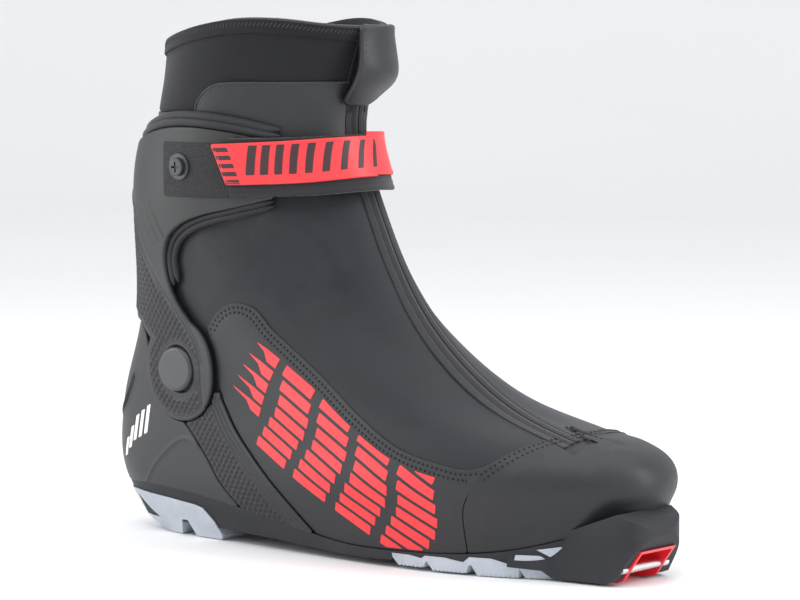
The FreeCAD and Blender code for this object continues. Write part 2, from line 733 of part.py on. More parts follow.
arm = size("arm_radius")
angle = math.radians(148)
arm_back = (PIVOT.x + arm * math.cos(angle), PIVOT.z + arm * math.sin(angle))
cuff_edge = [
    (-34, 158), (-52, 153.6), (-68, 150), (-80, 145.5), (-88, 139), (-91, 130), (-87.5, 116),
    (-77, 103.5), (-67, 96),
]
cuff_top = [(-160, 158), (-128, 171), (-112, 181.5), (-90, 188.6), (-70, 190), (-50, 187.6), (-36, 184)]
arm_front = (PIVOT.x + arm * math.cos(math.radians(40)), PIVOT.z + arm * math.sin(math.radians(40)))
cuff_region = side_prism(
    cuff_top, (-31, 171), cuff_edge, arm_front, (PIVOT.x + 4, PIVOT.z), arm_back,
        [(-113, 98.2), (-124, 100.6), (-160, 102)],
)
cuff_region = cuff_region.fuse(pivot_bore(arm)).removeSplitter()
CUFF_IN = size("cuff_inside")
bore = pivot_bore(size("pin_radius") + size("pin_clearance"))
cuff = layer(CUFF_IN, cuff_outside, cuff_region, bore, cap_recess(-1), cap_recess(1))

padding_low = [(x, z + 0.3) for x, z in cuff_top]
padding_high = [(x, z + 6.4) for x, z in reversed(cuff_top)]
padding_region = side_prism(padding_low, (-33, 187), padding_high)
add("cuff_padding", layer(1.2, 5.4, padding_region))

trim_outer = cuff_edge[:7]
trim_inner = [(-33.6, 153.4), (-51, 149), (-66, 145.5), (-76.5, 141.4), (-83.4, 136), (-86.2, 129),
    (-83.4, 119)]
trim_region = side_prism([(x + 0.5, z - 0.4) for x, z in trim_outer], list(reversed(trim_inner)))
add("cuff_trim", layer(0.9, 3.4, trim_region), count=2)

shaft_region = shaft_side(0.0, COLLAR_SEAM)
add("shaft_softshell", layer(-SHELL, 0.0, shaft_region, teeth_slot))
add("liner_upper", layer(LINER_IN, LINER_OUT, shaft_side(0.0, COLLAR_SEAM - 0.2), throat))
collar_region = side_prism((-160, COLLAR_SEAM + 0.1), (40, COLLAR_SEAM + 0.1), (40, 260),
    (-160, 260)).common(below_rim(0.8))
add("collar", layer(-size("collar_thickness"), 0.0, collar_region, zip_strip(5)))
binding_region = below_rim(0.6).cut(below_rim(6.6))
add("collar_binding", layer(0.1, 0.9, binding_region, zip_strip(5)))


def collar_panel(side):
    """Smooth panel below the neoprene, from the zip to half way back."""
    region = side_prism(
        (-76, 172), [(-73, 192), (-70, 201), (-64.5, 206.5), (-57.5, 209.4), (-50, 210)], (30, 210.5),
        (30, 163),
        (-34, 163), **side,
    )
    return layer(0.1, 1.0, region, zip_strip(8.8))


add("collar_panel_lateral", collar_panel(LATERAL))
add("collar_panel_medial", collar_panel(MEDIAL))

# --------------------------------------------------------------------------------------------------------
# Strap
# --------------------------------------------------------------------------------------------------------

STRAP_IN = size("strap_inside")
STRAP = size("strap_thickness")
LOW = size("strap_low")
HIGH = size("strap_high")
PATCH_THICKNESS = 0.9
patch_region = side_prism((-87, LOW - 0.5), (-46, LOW - 0.5), (-46, HIGH - 3), (-87, HIGH - 3), **LATERAL)
FASTENER_Z = 172.5
SCREW_X = -77.0
RIVET_X = -48.0


screw_seat, screw_axis = flank_point(SCREW_X, FASTENER_Z, -1, cuff_outside)
rivet_seat, rivet_axis = flank_point(RIVET_X, FASTENER_Z, 1, STRAP_IN + STRAP)
SHANK = size("shank_radius")
screw_hole = Part.makeCylinder(SHANK, 20, screw_seat - screw_axis * 10, screw_axis)
rivet_hole = Part.makeCylinder(SHANK, 20, rivet_seat - rivet_axis * 10, rivet_axis)
add("cuff_shell", cuff.cut(screw_hole).cut(rivet_hole))
washer_bore = Part.makeCylinder(size("screw_washer_radius") + 0.1, 12, screw_seat - screw_axis * 1,
    screw_axis)
patch = layer(cuff_outside, lambda point: cuff_outside(point) + PATCH_THICKNESS, patch_region)
add("hook_patch", patch.cut(skin_solid(cuff_outside, 0.05)).cut(washer_bore))



def strap_band(back_x, side):
    """The strap's band on one side of the boot, from its end to the front."""
    return side_prism((back_x, LOW), (60, LOW + 0.5), (60, HIGH), (back_x, HIGH - 0.5), **side)


strap_region = strap_band(-52, LATERAL).fuse(strap_band(-62, MEDIAL))
add("strap_base", layer(STRAP_IN, STRAP_IN + STRAP, strap_region, rivet_hole))

RED_IN = STRAP_IN + STRAP + 0.15
RED_OUT = RED_IN + STRAP
hinge_point, hinge_normal = flank_point(-22, 175, -1, (RED_IN + RED_OUT) / 2)
across = Vector(0, 0, 1).cross(hinge_normal).normalize()
PEEL_GAP = 3.0


def turned_box(length, width, start):
    """An upright box on the strap's peel line, from a distance along the strap, square to the strap."""
    shape = Part.makeBox(length, width, 100, Vector(start, -width / 2, 140))
    shape.rotate(Vector(), Vector(0, 0, 1), math.degrees(math.atan2(across.y, across.x)))
    return shape.translated(Vector(hinge_point.x, hinge_point.y, 0))


hinge_gap = turned_box(2 * PEEL_GAP, 20, -PEEL_GAP)


def hinge_half(sign):
    """Half space on one side of the strap's peel line, cut square to the strap."""
    return turned_box(200, 200, 0 if sign > 0 else -200)


red_band = side_prism((-59.5, 183), (60, HIGH + 1), (60, LOW + 6.5), (-53, LOW + 5.5))
tail_sign = 1 if across.x < 0 else -1
tail_zone = red_band.common(hinge_half(tail_sign)).common(plan_prism((-90, -70), (60, -70), (60, 0),
    (-90, 0)))
front_zone = red_band.common(hinge_half(-tail_sign)).common(plan_prism((-40, -60), (60, -60), (60, 60),
    (-40, 60)))
add("strap_tail", layer(RED_IN, RED_OUT, tail_zone, hinge_gap))
add("strap_front", layer(RED_IN, RED_OUT, front_zone, hinge_gap))

# --------------------------------------------------------------------------------------------------------
# Small hard parts: bodies made of sketches and features, driven by the sheet
# --------------------------------------------------------------------------------------------------------


def frame_rotation(z_axis, x_hint=Vector(0, 0, 1)):
    """Rotation that takes a body's own Z to a direction."""
    y_axis = z_axis.cross(x_hint).normalize()
    x_axis = y_axis.cross(z_axis)
    return FreeCAD.Rotation(x_axis, y_axis, z_axis, "ZXY")


def new_body(label, place, rotation=FreeCAD.Rotation()):
    """A body with its own origin at a place of the design frame."""
    body = doc.addObject("PartDesign::Body", label)
    body.Label = label
    body.Placement = FreeCAD.Placement(place + SHIFT, rotation)
    NODES.append(body)
    return body


def sketch_on(body, role, name):
    """A sketch on one of the body's own origin planes."""
    sketch = body.newObject("Sketcher::SketchObject", name)
    plane = next(item for item in body.Origin.OriginFeatures if item.Role == role)
    sketch.AttachmentSupport = [(plane, "")]
    sketch.MapMode = "FlatFace"
    return sketch


def polygon(sketch, corners):
    """A closed chain of lines."""
    points = [Vector(x, y, 0) for x, y in corners]
    for start, end in zip(points, points[1:] + points[:1]):
        sketch.addGeometry(Part.LineSegment(start, end), False)


def circle(sketch, radius, expression=None):
    """A circle round the body's axis, its radius driven by the sheet."""
    index = sketch.addGeometry(Part.Circle(Vector(), Vector(0, 0, 1), radius), False)
    if expression:
        number = sketch.addConstraint(Sketcher.Constraint("Radius", index, radius))
        sketch.setExpression(f"Constraints[{number}]", expression)


def pad(body, sketch, length, expression=None, reverse=False):
    """A pad of the sketch, its length driven by the sheet."""
    feature = body.newObject("PartDesign::Pad", sketch.Name + "_pad")
    feature.Profile = sketch
    feature.Length = length
    feature.Reversed = reverse
    if expression:
        feature.setExpression("Length", expression)
    return feature


def round_body(
    label, place, axis, radius, height, height_name=None, radius_name=None, dome=0.0, recess=None,
        shank=0.0, hole=False
):
    """A turned piece along its own Z: a disc with a domed edge, a cross recess, a shank below or a hole."""
    body = new_body(label, place, frame_rotation(axis))
    sketch = sketch_on(body, "XY_Plane", label + "_disc")
    circle(sketch, radius, radius_name)
    feature = pad(body, sketch, height, height_name)
    doc.recompute()
    if shank:
        outline = sketch_on(body, "XY_Plane", label + "_shank")
        circle(outline, SHANK, "<<Dimensions>>.shank_radius")
        feature = pad(body, outline, shank, reverse=True)
        doc.recompute()
    if hole:
        outline = sketch_on(body, "XY_Plane", label + "_hole")
        circle(outline, SHANK, "<<Dimensions>>.shank_radius")
        before = feature.Shape.Volume
        feature = body.newObject("PartDesign::Pocket", label + "_bore")
        feature.Profile = outline
        feature.Type = "ThroughAll"
        feature.Reversed = True
        doc.recompute()
        if feature.Shape.Volume >= before:
            raise RuntimeError(f"{label}: the hole cuts nothing")
    if dome:
        top = [
            f"Edge{i}" for i, edge in enumerate(feature.Shape.Edges, start=1)
            if isinstance(edge.Curve, Part.Circle) and edge.Curve.Center.z > height * 0.5
            and edge.Curve.Radius > radius * 0.9
        ]
        fillet = body.newObject("PartDesign::Fillet", label + "_dome")
        fillet.Base = (feature, top)
        fillet.Radius = dome
    if recess:
        slots = sketch_on(body, "XY_Plane", label + "_recess_outline")
        slots.AttachmentOffset = FreeCAD.Placement(Vector(0, 0, height), FreeCAD.Rotation())
        reach, half = recess
        corners = [
            (reach, half), (half, half), (half, reach), (-half, reach), (-half, half), (-reach, half),
            (-reach, -half), (-half, -half), (-half, -reach), (half, -reach), (half, -half), (reach, -half),
        ]
        polygon(slots, corners)
        pocket = body.newObject("PartDesign::Pocket", label + "_recess")
        pocket.Profile = slots
        pocket.Length = height * 0.6
        doc.recompute()
        if pocket.Shape.Volume >= feature.Shape.Volume:
            raise RuntimeError(f"{label}: the recess cuts nothing")
    return body


WASHER = 1.0
PIN_INSIDE = 2.5
CAP_GAP = 0.3

for side, name in ((-1, "lateral"), (1, "medial")):
    seat = Vector(PIVOT.x, skin_y(PIVOT.x, PIVOT.z, side), PIVOT.z)
    outward = Vector(0, side, 0)
    # Pin through the softshell and the cuff's arm, from its washer inside to the cap outside.
    pin_start = -SHELL - LINER - PIN_INSIDE
    pin_end = size("cap_seat") + CAP_GAP
    body = new_body(f"pivot_pin_{name}", seat + outward * pin_start, frame_rotation(outward))
    outline = sketch_on(body, "XY_Plane", f"pin_{name}_outline")
    circle(outline, size("pin_radius"), "<<Dimensions>>.pin_radius")
    pad(body, outline, pin_end - pin_start)
    round_body(
        f"pivot_cap_{name}", seat + outward * pin_end, outward, size("cap_radius"), size("cap_height"),
        "<<Dimensions>>.cap_height", "<<Dimensions>>.cap_radius", dome=1.6,
    )
    round_body(
        f"pivot_washer_{name}", seat + outward * (pin_start - WASHER), outward, size("washer_radius"),
            WASHER,
        radius_name="<<Dimensions>>.washer_radius",
    )

# Steel toe bar that the binding grips.
bar = doc.addObject("Part::Cylinder", "toe_bar")
bar.Label = "toe_bar"
bar.setExpression("Radius", "<<Dimensions>>.bar_radius")
bar.setExpression("Height", "<<Dimensions>>.bar_length")
bar.Placement = FreeCAD.Placement(
    Vector(size("bar_x"), -size("bar_length") / 2, size("bar_z")) + SHIFT,
        FreeCAD.Rotation(Vector(1, 0, 0), -90),
)
NODES.append(bar)

# Strap screw on its washer, and the rivet at the strap's medial end.
WASHER_LIFT = 0.35
SCREW_WASHER = 1.2
round_body(
    "strap_washer", screw_seat + screw_axis * WASHER_LIFT, screw_axis, size("screw_washer_radius"),
        SCREW_WASHER,
    radius_name="<<Dimensions>>.screw_washer_radius", dome=0.5, hole=True,
)
round_body(
    "strap_screw", screw_seat + screw_axis * (WASHER_LIFT + SCREW_WASHER + 0.05), screw_axis,
        size("screw_radius"), 1.8,
    radius_name="<<Dimensions>>.screw_radius", dome=0.6, recess=(2.4, 0.45), shank=3.6,
)
round_body("strap_rivet", rivet_seat + rivet_axis * 0.1, rivet_axis, 5.0, 1.6, dome=0.9, shank=4.6)

# Zip slider and its pull. The slider rides over the teeth in front of the shaft.
SLIDER_V = 11.31
SLIDER_LIFT = 1.9
front = SKIN.point(0, SLIDER_V)
lower = SKIN.point(0, SLIDER_V - 0.31)
slide_axis = Vector(lower.x - front.x, 0, lower.z - front.z).normalize()
slider_normal = Vector(-slide_axis.z, 0, slide_axis.x).normalize()
slider_seat = Vector(front.x, ZIP_SHAFT_Y, front.z) + slider_normal * SLIDER_LIFT
slider = new_body("zip_slider", slider_seat, frame_rotation(slider_normal, slide_axis * -1))
outline = sketch_on(slider, "XY_Plane", "slider_outline")
half_w = size("slider_width") / 2
half_h = size("slider_height") / 2
half_slider = [(-half_h, half_w * 0.55), (-half_h * 0.3, half_w), (half_h, half_w)]
polygon(outline, half_slider + [(x, -y) for x, y in reversed(half_slider)])
pad(slider, outline, size("slider_depth"), "<<Dimensions>>.slider_depth")

PULL_GAP = 0.4
half_pull = size("pull_depth") / 2
pull_hinge = slider_seat + slider_normal * (size("slider_depth") + PULL_GAP + half_pull) - slide_axis * 2
pull = new_body("zip_pull", pull_hinge - slider_normal * half_pull,
    frame_rotation(slider_normal, slide_axis * -1))
outline = sketch_on(pull, "XY_Plane", "pull_outline")
half_w = size("pull_width") / 2
length = size("pull_length")
half_outline = [(1.5, half_w * 0.6), (-length * 0.6, half_w * 0.6), (-length * 0.75, half_w),
    (-length, half_w * 0.8)]
polygon(outline, half_outline + [(x, -y) for x, y in reversed(half_outline)])
pad(pull, outline, size("pull_depth"), "<<Dimensions>>.pull_depth")

# Pull flap over the slider: a hanging sheet joined to the collar's front by a short web at its top.
FLAP_IN = size("flap_inside")
FLAP_OUT = FLAP_IN + size("flap_thickness")
flap_strip = zip_strip(12)
sheet_region = flap_strip.common(side_prism((-40, 203), (60, 201), (60, 236), (-40, 236)))
web_region = flap_strip.common(side_prism((-40, 232.2), (60, 232.2), (60, 236), (-40, 236)))
WEB_IN = 1.6
add("pull_flap", layer(FLAP_IN, FLAP_OUT, sheet_region).fuse(layer(WEB_IN, FLAP_OUT, web_region)))

# Toggle that locks the quick lace, over the tongue.
lock_low = SKIN.point(0, 10.4)
lock_high = SKIN.point(0, 11)
lock_axis = (lock_high - lock_low).normalize()
lock_normal = Vector(lock_axis.z, 0, -lock_axis.x).normalize()
LOCK_DEPTH = 4.75
LOCK_THICKNESS = 0.9
LOCK_RISE = 3.0
LOCK_MIDDLE_Y = 3.2
lock_seat = Vector(lock_low.x, LOCK_MIDDLE_Y, lock_low.z) - lock_normal * LOCK_DEPTH + lock_axis * LOCK_RISE
lock = new_body("lace_lock", lock_seat, frame_rotation(lock_normal, lock_axis))
outline = sketch_on(lock, "XY_Plane", "lock_outline")
polygon(outline, [(-4, -3), (3.2, -3.3), (4.2, -2.2), (4.2, 2.2), (3.2, 3.3), (-4, 3)])
pad(lock, outline, LOCK_THICKNESS)

# --------------------------------------------------------------------------------------------------------
# Check and write
# --------------------------------------------------------------------------------------------------------

doc.recompute()
for item in doc.Objects:
    if "Invalid" in item.State or "Error" in item.State:
        raise RuntimeError(f"{item.Label} failed: {item.State}")

os.makedirs("parts", exist_ok=True)
for old in os.listdir("parts"):
    os.remove(os.path.join("parts", old))
box = FreeCAD.BoundBox()
for node in NODES:
    shape = node.Shape
    if shape.isNull() or not shape.isValid() or not shape.Solids:
        raise RuntimeError(f"{node.Label} has no valid solid")
    box.add(shape.optimalBoundingBox())
    shape.exportStep(f"parts/{node.Label}.step")
    print(f"{node.Label:26s} solids {len(shape.Solids):2d}  volume {shape.Volume / 1000:8.2f} cm3")
print(f"{len(NODES)} nodes, box {box.XLength:.1f} x {box.YLength:.1f} x {box.ZLength:.1f}")
print(f"centre {box.Center.x:.2f} {box.Center.y:.2f}, lowest {box.ZMin:.2f}")
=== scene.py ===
import json
import math

import bpy
import numpy as np
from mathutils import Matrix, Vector


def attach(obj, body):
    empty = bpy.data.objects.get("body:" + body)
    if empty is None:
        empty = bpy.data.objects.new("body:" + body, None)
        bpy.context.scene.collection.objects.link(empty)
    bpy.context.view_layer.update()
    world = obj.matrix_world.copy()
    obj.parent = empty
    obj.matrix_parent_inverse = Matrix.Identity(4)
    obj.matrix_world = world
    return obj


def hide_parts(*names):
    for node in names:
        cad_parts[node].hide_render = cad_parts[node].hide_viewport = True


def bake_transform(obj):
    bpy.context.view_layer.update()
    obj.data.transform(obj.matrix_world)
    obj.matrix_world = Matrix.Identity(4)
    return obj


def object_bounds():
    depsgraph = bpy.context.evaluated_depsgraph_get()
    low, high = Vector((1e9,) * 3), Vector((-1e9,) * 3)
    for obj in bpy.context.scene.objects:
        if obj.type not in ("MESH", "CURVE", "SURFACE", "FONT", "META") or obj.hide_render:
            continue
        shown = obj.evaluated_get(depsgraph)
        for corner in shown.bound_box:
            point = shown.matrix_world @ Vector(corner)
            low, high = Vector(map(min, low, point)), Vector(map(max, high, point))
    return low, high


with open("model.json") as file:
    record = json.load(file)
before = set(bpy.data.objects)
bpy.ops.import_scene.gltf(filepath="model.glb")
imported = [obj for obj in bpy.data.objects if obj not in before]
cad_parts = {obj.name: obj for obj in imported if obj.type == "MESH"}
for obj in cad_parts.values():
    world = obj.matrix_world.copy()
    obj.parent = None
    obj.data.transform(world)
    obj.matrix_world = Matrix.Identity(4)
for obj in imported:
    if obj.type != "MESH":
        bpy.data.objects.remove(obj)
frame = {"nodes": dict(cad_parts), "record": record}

# Cross country ski boot. Shapes are worked out in millimetres in the boot's design axes: +X to the toe,
# +Y to the inner (medial) side, +Z up, with y = 0 at the heel's middle. DATUM is that design datum in
# the frame.

cad_low, cad_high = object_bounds()
DATUM = np.array([-5.44, -3.2, 0.0])
MM = 0.001

# ----------------------------------------------------------------------
# Skin of the boot
# ----------------------------------------------------------------------

# Each section has its front and back points (x, z), the y of both, and its half widths on the lateral and
# the medial side at these fractions of the way from back to front.
STATIONS = (0.94, 0.77, 0.52, 0.26, 0.07)
SECTIONS = (
    ((139, 0), (-128, 0), (8, 0), (19, 37, 37, 26, 17), (24, 34, 26, 25, 17)),
    ((146, 26), (-140, 20), (8, 0), (26, 45, 44, 34, 24), (31, 41, 32, 32, 23)),
    ((150, 39), (-145, 35), (8, 0), (28, 49, 48, 36, 26), (34, 45, 35, 34, 25)),
    ((147, 48), (-145, 50), (8, 0), (27, 48, 48, 37, 26), (33, 45, 36, 35, 25)),
    ((134, 54.5), (-142, 66), (7, 0), (25, 45, 47, 37, 26), (29, 42, 37, 36, 25)),
    ((108, 60.5), (-136, 83), (6, 0), (22, 41, 45, 38, 26), (25, 38, 38, 37, 25)),
    ((77, 71), (-130, 100), (5, 0), (18, 35, 42, 38, 26), (20, 33, 38, 38, 25)),
    ((44, 91), (-127, 118), (4, 0), (16, 29, 38, 37, 25), (18, 29, 37, 37, 25)),
    ((18.5, 117), (-125, 136), (2, 0), (15, 26, 35, 35, 24), (16, 27, 35, 35, 24)),
    ((2.5, 147), (-124, 155), (1, 0), (15, 26, 35, 35, 23), (15, 27, 36, 35, 23)),
    ((-9, 174), (-122, 176), (0, 0), (16, 28, 37, 35, 23), (16, 28, 37, 35, 23)),
    ((-12, 199), (-116, 199), (0, 0), (17, 30, 39, 36, 23), (17, 30, 39, 36, 23)),
    ((1, 241), (-109, 236), (0, 0), (19, 34, 43, 39, 24), (19, 34, 43, 39, 24)),
)
ROUND = 12
TOP = len(SECTIONS) - 1


def section_points(section):
    """Twelve points round a section: front, lateral side to the back, medial side to the front."""
    (front_x, front_z), (back_x, back_z), (front_y, back_y), lateral, medial = section
    back = np.array([back_x, back_y, back_z])
    along = np.array([front_x, front_y, front_z]) - back
    sideways = [(1, 0)] + [(f, -w) for f, w in zip(STATIONS, lateral)] + [(0, 0)]
    sideways += [(f, w) for f, w in zip(reversed(STATIONS), reversed(medial))]
    return np.array([back + along * f + np.array([0, w, 0]) for f, w in sideways])


def spline_poles(points, closed):
    """Poles of the uniform cubic spline through the points, closed or with natural ends."""
    count = len(points)
    matrix = np.eye(count)
    for i in range(count):
        if closed or 0 < i < count - 1:
            matrix[i, i] = 4 / 6
            matrix[i, (i - 1) % count] += 1 / 6
            matrix[i, (i + 1) % count] += 1 / 6
    return np.linalg.solve(matrix, points.reshape(count, -1)).reshape(points.shape)


def skin_poles():
    rings = np.array([spline_poles(section_points(s), True) for s in SECTIONS])
    rows = spline_poles(rings, False)
    return np.concatenate([2 * rows[:1] - rows[1:2], rows, 2 * rows[-1:] - rows[-2:-1]])


POLES = skin_poles()


def cubic(t):
    """Weights of four poles and their slopes."""
    weights = (
        (1 - t) ** 3 / 6,
        (3 * t ** 3 - 6 * t ** 2 + 4) / 6,
        (-3 * t ** 3 + 3 * t ** 2 + 3 * t + 1) / 6,
        t ** 3 / 6,
    )
    slopes = (-((1 - t) ** 2) / 2, (9 * t ** 2 - 12 * t) / 6, (-9 * t ** 2 + 6 * t + 3) / 6, t ** 2 / 2)
    return weights, slopes


def skin(u, v):
    """Points of the skin and its slopes along u and v."""
    span_u = np.floor(u).astype(int)
    span_v = np.clip(np.floor(v).astype(int), 0, TOP - 1)
    weights_u, slopes_u = cubic(u - span_u)
    weights_v, slopes_v = cubic(v - span_v)
    point = np.zeros(u.shape + (3,))
    along_u = np.zeros_like(point)
    along_v = np.zeros_like(point)
    for j in range(4):
        for i in range(4):
            pole = POLES[span_v + j, (span_u + i - 1) % ROUND]
            point += pole * (weights_u[i] * weights_v[j])[..., None]
            along_u += pole * (slopes_u[i] * weights_v[j])[..., None]
            along_v += pole * (weights_u[i] * slopes_v[j])[..., None]
    return point, along_u, along_v


def unit(vectors):
    return vectors / np.maximum(np.linalg.norm(vectors, axis=-1, keepdims=True), 1e-9)


ZIP_SHAFT_Y = 4.0
ZIP_TURN_X = 15.0
ZIP_END = (118.0, -8.0)
ZIP_SLOPE = (ZIP_END[1] - ZIP_SHAFT_Y) / (ZIP_END[0] - ZIP_TURN_X)


class Place:
    """Places on the skin: x, y, z, the outward normal, and the distance from the zip's line."""

    def __init__(self, u, v):
        self.u = np.asarray(u, float)
        self.v = np.asarray(v, float)
        self.point, self.along_u, self.along_v = skin(self.u, self.v)
        self.normal = unit(np.cross(self.along_v, self.along_u))
        self.x, self.y, self.z = np.moveaxis(self.point, -1, 0)
        zip_y = ZIP_SHAFT_Y + ZIP_SLOPE * np.maximum(self.x - ZIP_TURN_X, 0)
        self.across = self.y - zip_y


# ----------------------------------------------------------------------
# Regions: functions of a Place that give the distance inside, in millimetres
# ----------------------------------------------------------------------


def smooth_run(points, steps=8):
    """Points along a smooth curve through the given ones."""
    points = np.array(points, float)
    if len(points) < 3:
        return points
    gaps = np.sqrt(np.linalg.norm(np.diff(points, axis=0), axis=1))
    knots = np.concatenate([[0], np.cumsum(gaps)])
    slopes = np.gradient(points, knots, axis=0)
    result = []
    for i in range(len(points) - 1):
        t = np.linspace(0, 1, steps, endpoint=False)[:, None]
        width = knots[i + 1] - knots[i]
        start = points[i] * (2 * t ** 3 - 3 * t ** 2 + 1) + slopes[i] * width * (t ** 3 - 2 * t ** 2 + t)
        start = start + points[i + 1] * (3 * t ** 2 - 2 * t ** 3)
        result.append(start + slopes[i + 1] * width * (t ** 3 - t ** 2))
    return np.concatenate(result + [points[-1:]])


def outline(*items):
    """Corners of an outline made of corners (tuples) and smooth runs (lists)."""
    parts = [smooth_run(item) if isinstance(item, list) else np.array([item], float) for item in items]
    return np.concatenate(parts)


def distance_to(points, x, z, closed=False):
    """Distance from each (x, z) to a run of straight pieces."""
    ends = np.roll(points, -1, axis=0) if closed else points[1:]
    starts = points if closed else points[:-1]
    best = np.full(x.shape, 1e9)
    for (ax, az), (bx, bz) in zip(starts, ends):
        dx, dz = bx - ax, bz - az
        length = dx * dx + dz * dz
        if length < 1e-12:
            continue
        t = np.clip(((x - ax) * dx + (z - az) * dz) / length, 0, 1)
        best = np.minimum(best, (x - ax - t * dx) ** 2 + (z - az - t * dz) ** 2)
    return np.sqrt(best)


def within(corners, x, z):
    """Signed distance inside a closed outline."""
    odd = np.zeros(x.shape, bool)
    for (ax, az), (bx, bz) in zip(corners, np.roll(corners, -1, axis=0)):
        if az != bz:
            odd ^= ((az > z) != (bz > z)) & (x < (bx - ax) * (z - az) / (bz - az) + ax)
    return np.where(odd, 1, -1) * distance_to(corners, x, z, closed=True)


def drawn(*items):
    """Region inside an outline drawn in side view."""
    corners = outline(*items)
    return lambda p: within(corners, p.x, p.z)


def near(points, smooth=True):
    """Distance to a run drawn in side view."""
    run = smooth_run(points) if smooth else np.array(points, float)
    return lambda p: distance_to(run, p.x, p.z)


def curve(run):
    """Height of a run of (x, z) at each x."""
    points = smooth_run(run)
    return lambda p: np.interp(p.x, points[:, 0], points[:, 1])


def above(run, raise_by=0.0):
    height = curve(run)
    return lambda p: p.z - height(p) - raise_by


def below(run, lower_by=0.0):
    height = curve(run)
    return lambda p: height(p) - lower_by - p.z


def all_of(*regions):
    return lambda p: np.minimum.reduce([region(p) for region in regions])


def any_of(*regions):
    return lambda p: np.maximum.reduce([region(p) for region in regions])


def outside_of(region):
    return lambda p: -region(p)


def strip(low, high):
    """Between two distances from the zip's line."""
    return lambda p: np.minimum(p.across - low, high - p.across)


def disc(x, z, radius):
    return lambda p: radius - np.hypot(p.x - x, p.z - z)


def heights(height, place):
    """A height over the skin at each place, from a number or a function of the place."""
    return np.broadcast_to(height(place) if callable(height) else height, place.x.shape)


def bump(distance, width):
    """A smooth hill of height 1 about distance 0."""
    return np.exp(-((distance / width) ** 2))


def ramp(value, low, high):
    t = np.clip((value - low) / (high - low), 0, 1)
    return t * t * (3 - 2 * t)


FLOOR = [
    (-152, 15), (-105, 15), (-60, 13.2), (-25, 9.2), (5, 6.5), (40, 6.1), (75, 6.9), (105, 11.5), (128, 17),
    (166, 20),
]
LIP = [
    (-152, 21), (-118, 23.2), (-84, 21.7), (-50, 17.5), (-15, 11.9), (14, 7.8), (43, 7.6), (70, 8.6),
    (100, 12.2), (120, 17.4), (138, 24), (152, 29.5),
]
RIM = [(-130, 221), (-108, 227.5), (-90, 231.5), (-68, 236), (-45, 239), (-25, 238.5), (-8, 236), (20, 233)]
COLLAR_SEAM = 196.0

# ----------------------------------------------------------------------
# Meshes from regions of the skin
# ----------------------------------------------------------------------

LATERAL = (0.0, 6.3)
MEDIAL = (5.7, 12.0)
ALL_ROUND = (0.0, 12.0)


class Patch:
    """The part of a grid over the skin where a region is positive, cut cleanly along its edge."""

    def __init__(self, region, span, levels, cell, inset=0.0):
        self.wrap = span[1] - span[0] >= ROUND
        coarse = Place(*np.meshgrid(np.linspace(*span, 25), np.linspace(*levels, 25)))
        step_u = cell / np.percentile(np.linalg.norm(coarse.along_u, axis=-1), 75)
        step_v = cell / np.percentile(np.linalg.norm(coarse.along_v, axis=-1), 75)
        columns = int(math.ceil((span[1] - span[0]) / step_u)) + 1
        rows = int(math.ceil((levels[1] - levels[0]) / step_v)) + 1
        us = np.linspace(*span, columns)
        vs = np.linspace(*levels, rows)
        place = Place(*np.meshgrid(us, vs))
        value = region(place) - inset
        value = np.where(np.abs(value) < 0.04 * cell, 0.04 * cell, value)
        if self.wrap:
            value[:, -1] = value[:, 0]
        ids = np.arange(rows * columns).reshape(rows, columns)
        if self.wrap:
            ids[:, -1] = ids[:, 0]
        inside = value > 0
        quad = np.stack([ids[:-1, :-1], ids[1:, :-1], ids[1:, 1:], ids[:-1, 1:]], -1)
        count = inside[:-1, :-1].astype(int) + inside[1:, :-1] + inside[1:, 1:] + inside[:-1, 1:]
        faces = quad[count == 4].tolist()
        grid_u = place.u.ravel()
        grid_v = place.v.ravel()
        cuts = {}
        cut_u, cut_v = [], []
        base = rows * columns
        for r, c in zip(*np.nonzero((count > 0) & (count < 4))):
            corners = ((r, c), (r + 1, c), (r + 1, c + 1), (r, c + 1))
            face = []
            for k in range(4):
                a, b = corners[k], corners[(k + 1) % 4]
                if inside[a]:
                    face.append(int(ids[a]))
                if inside[a] != inside[b]:
                    key = tuple(sorted((int(ids[a]), int(ids[b]))))
                    if key not in cuts:
                        t = value[a] / (value[a] - value[b])
                        cuts[key] = base + len(cut_u)
                        cut_u.append(us[a[1]] + t * (us[b[1]] - us[a[1]]))
                        cut_v.append(vs[a[0]] + t * (vs[b[0]] - vs[a[0]]))
                    face.append(cuts[key])
            if len(face) > 2:
                faces.append(face)
        used, faces = renumber(faces)
        self.faces = faces
        self.place = Place(
            np.concatenate([grid_u, cut_u])[used],
            np.concatenate([grid_v, cut_v])[used],
        )
        self.loops = border_loops(faces)
        self.region = region

    def outward(self, ids):
        """Unit directions in the skin that point straight out of the region."""
        place = Place(self.place.u[ids], self.place.v[ids])
        step = 0.004
        slope_u = self.region(Place(place.u + step, place.v)) - self.region(Place(place.u - step, place.v))
        slope_v = self.region(Place(place.u, place.v + step)) - self.region(Place(place.u, place.v - step))
        a = (place.along_u ** 2).sum(-1)
        b = (place.along_u * place.along_v).sum(-1)
        c = (place.along_v ** 2).sum(-1)
        det = np.maximum(a * c - b * b, 1e-9)
        part_u = (slope_u * c - slope_v * b) / det
        part_v = (slope_v * a - slope_u * b) / det
        return -unit(place.along_u * part_u[:, None] + place.along_v * part_v[:, None])


def renumber(faces):
    """Vertex numbers in use, and the faces with new numbers."""
    used = np.unique(np.concatenate([np.array(face) for face in faces]))
    number = {int(old): new for new, old in enumerate(used)}
    return used, [[number[i] for i in face] for face in faces]


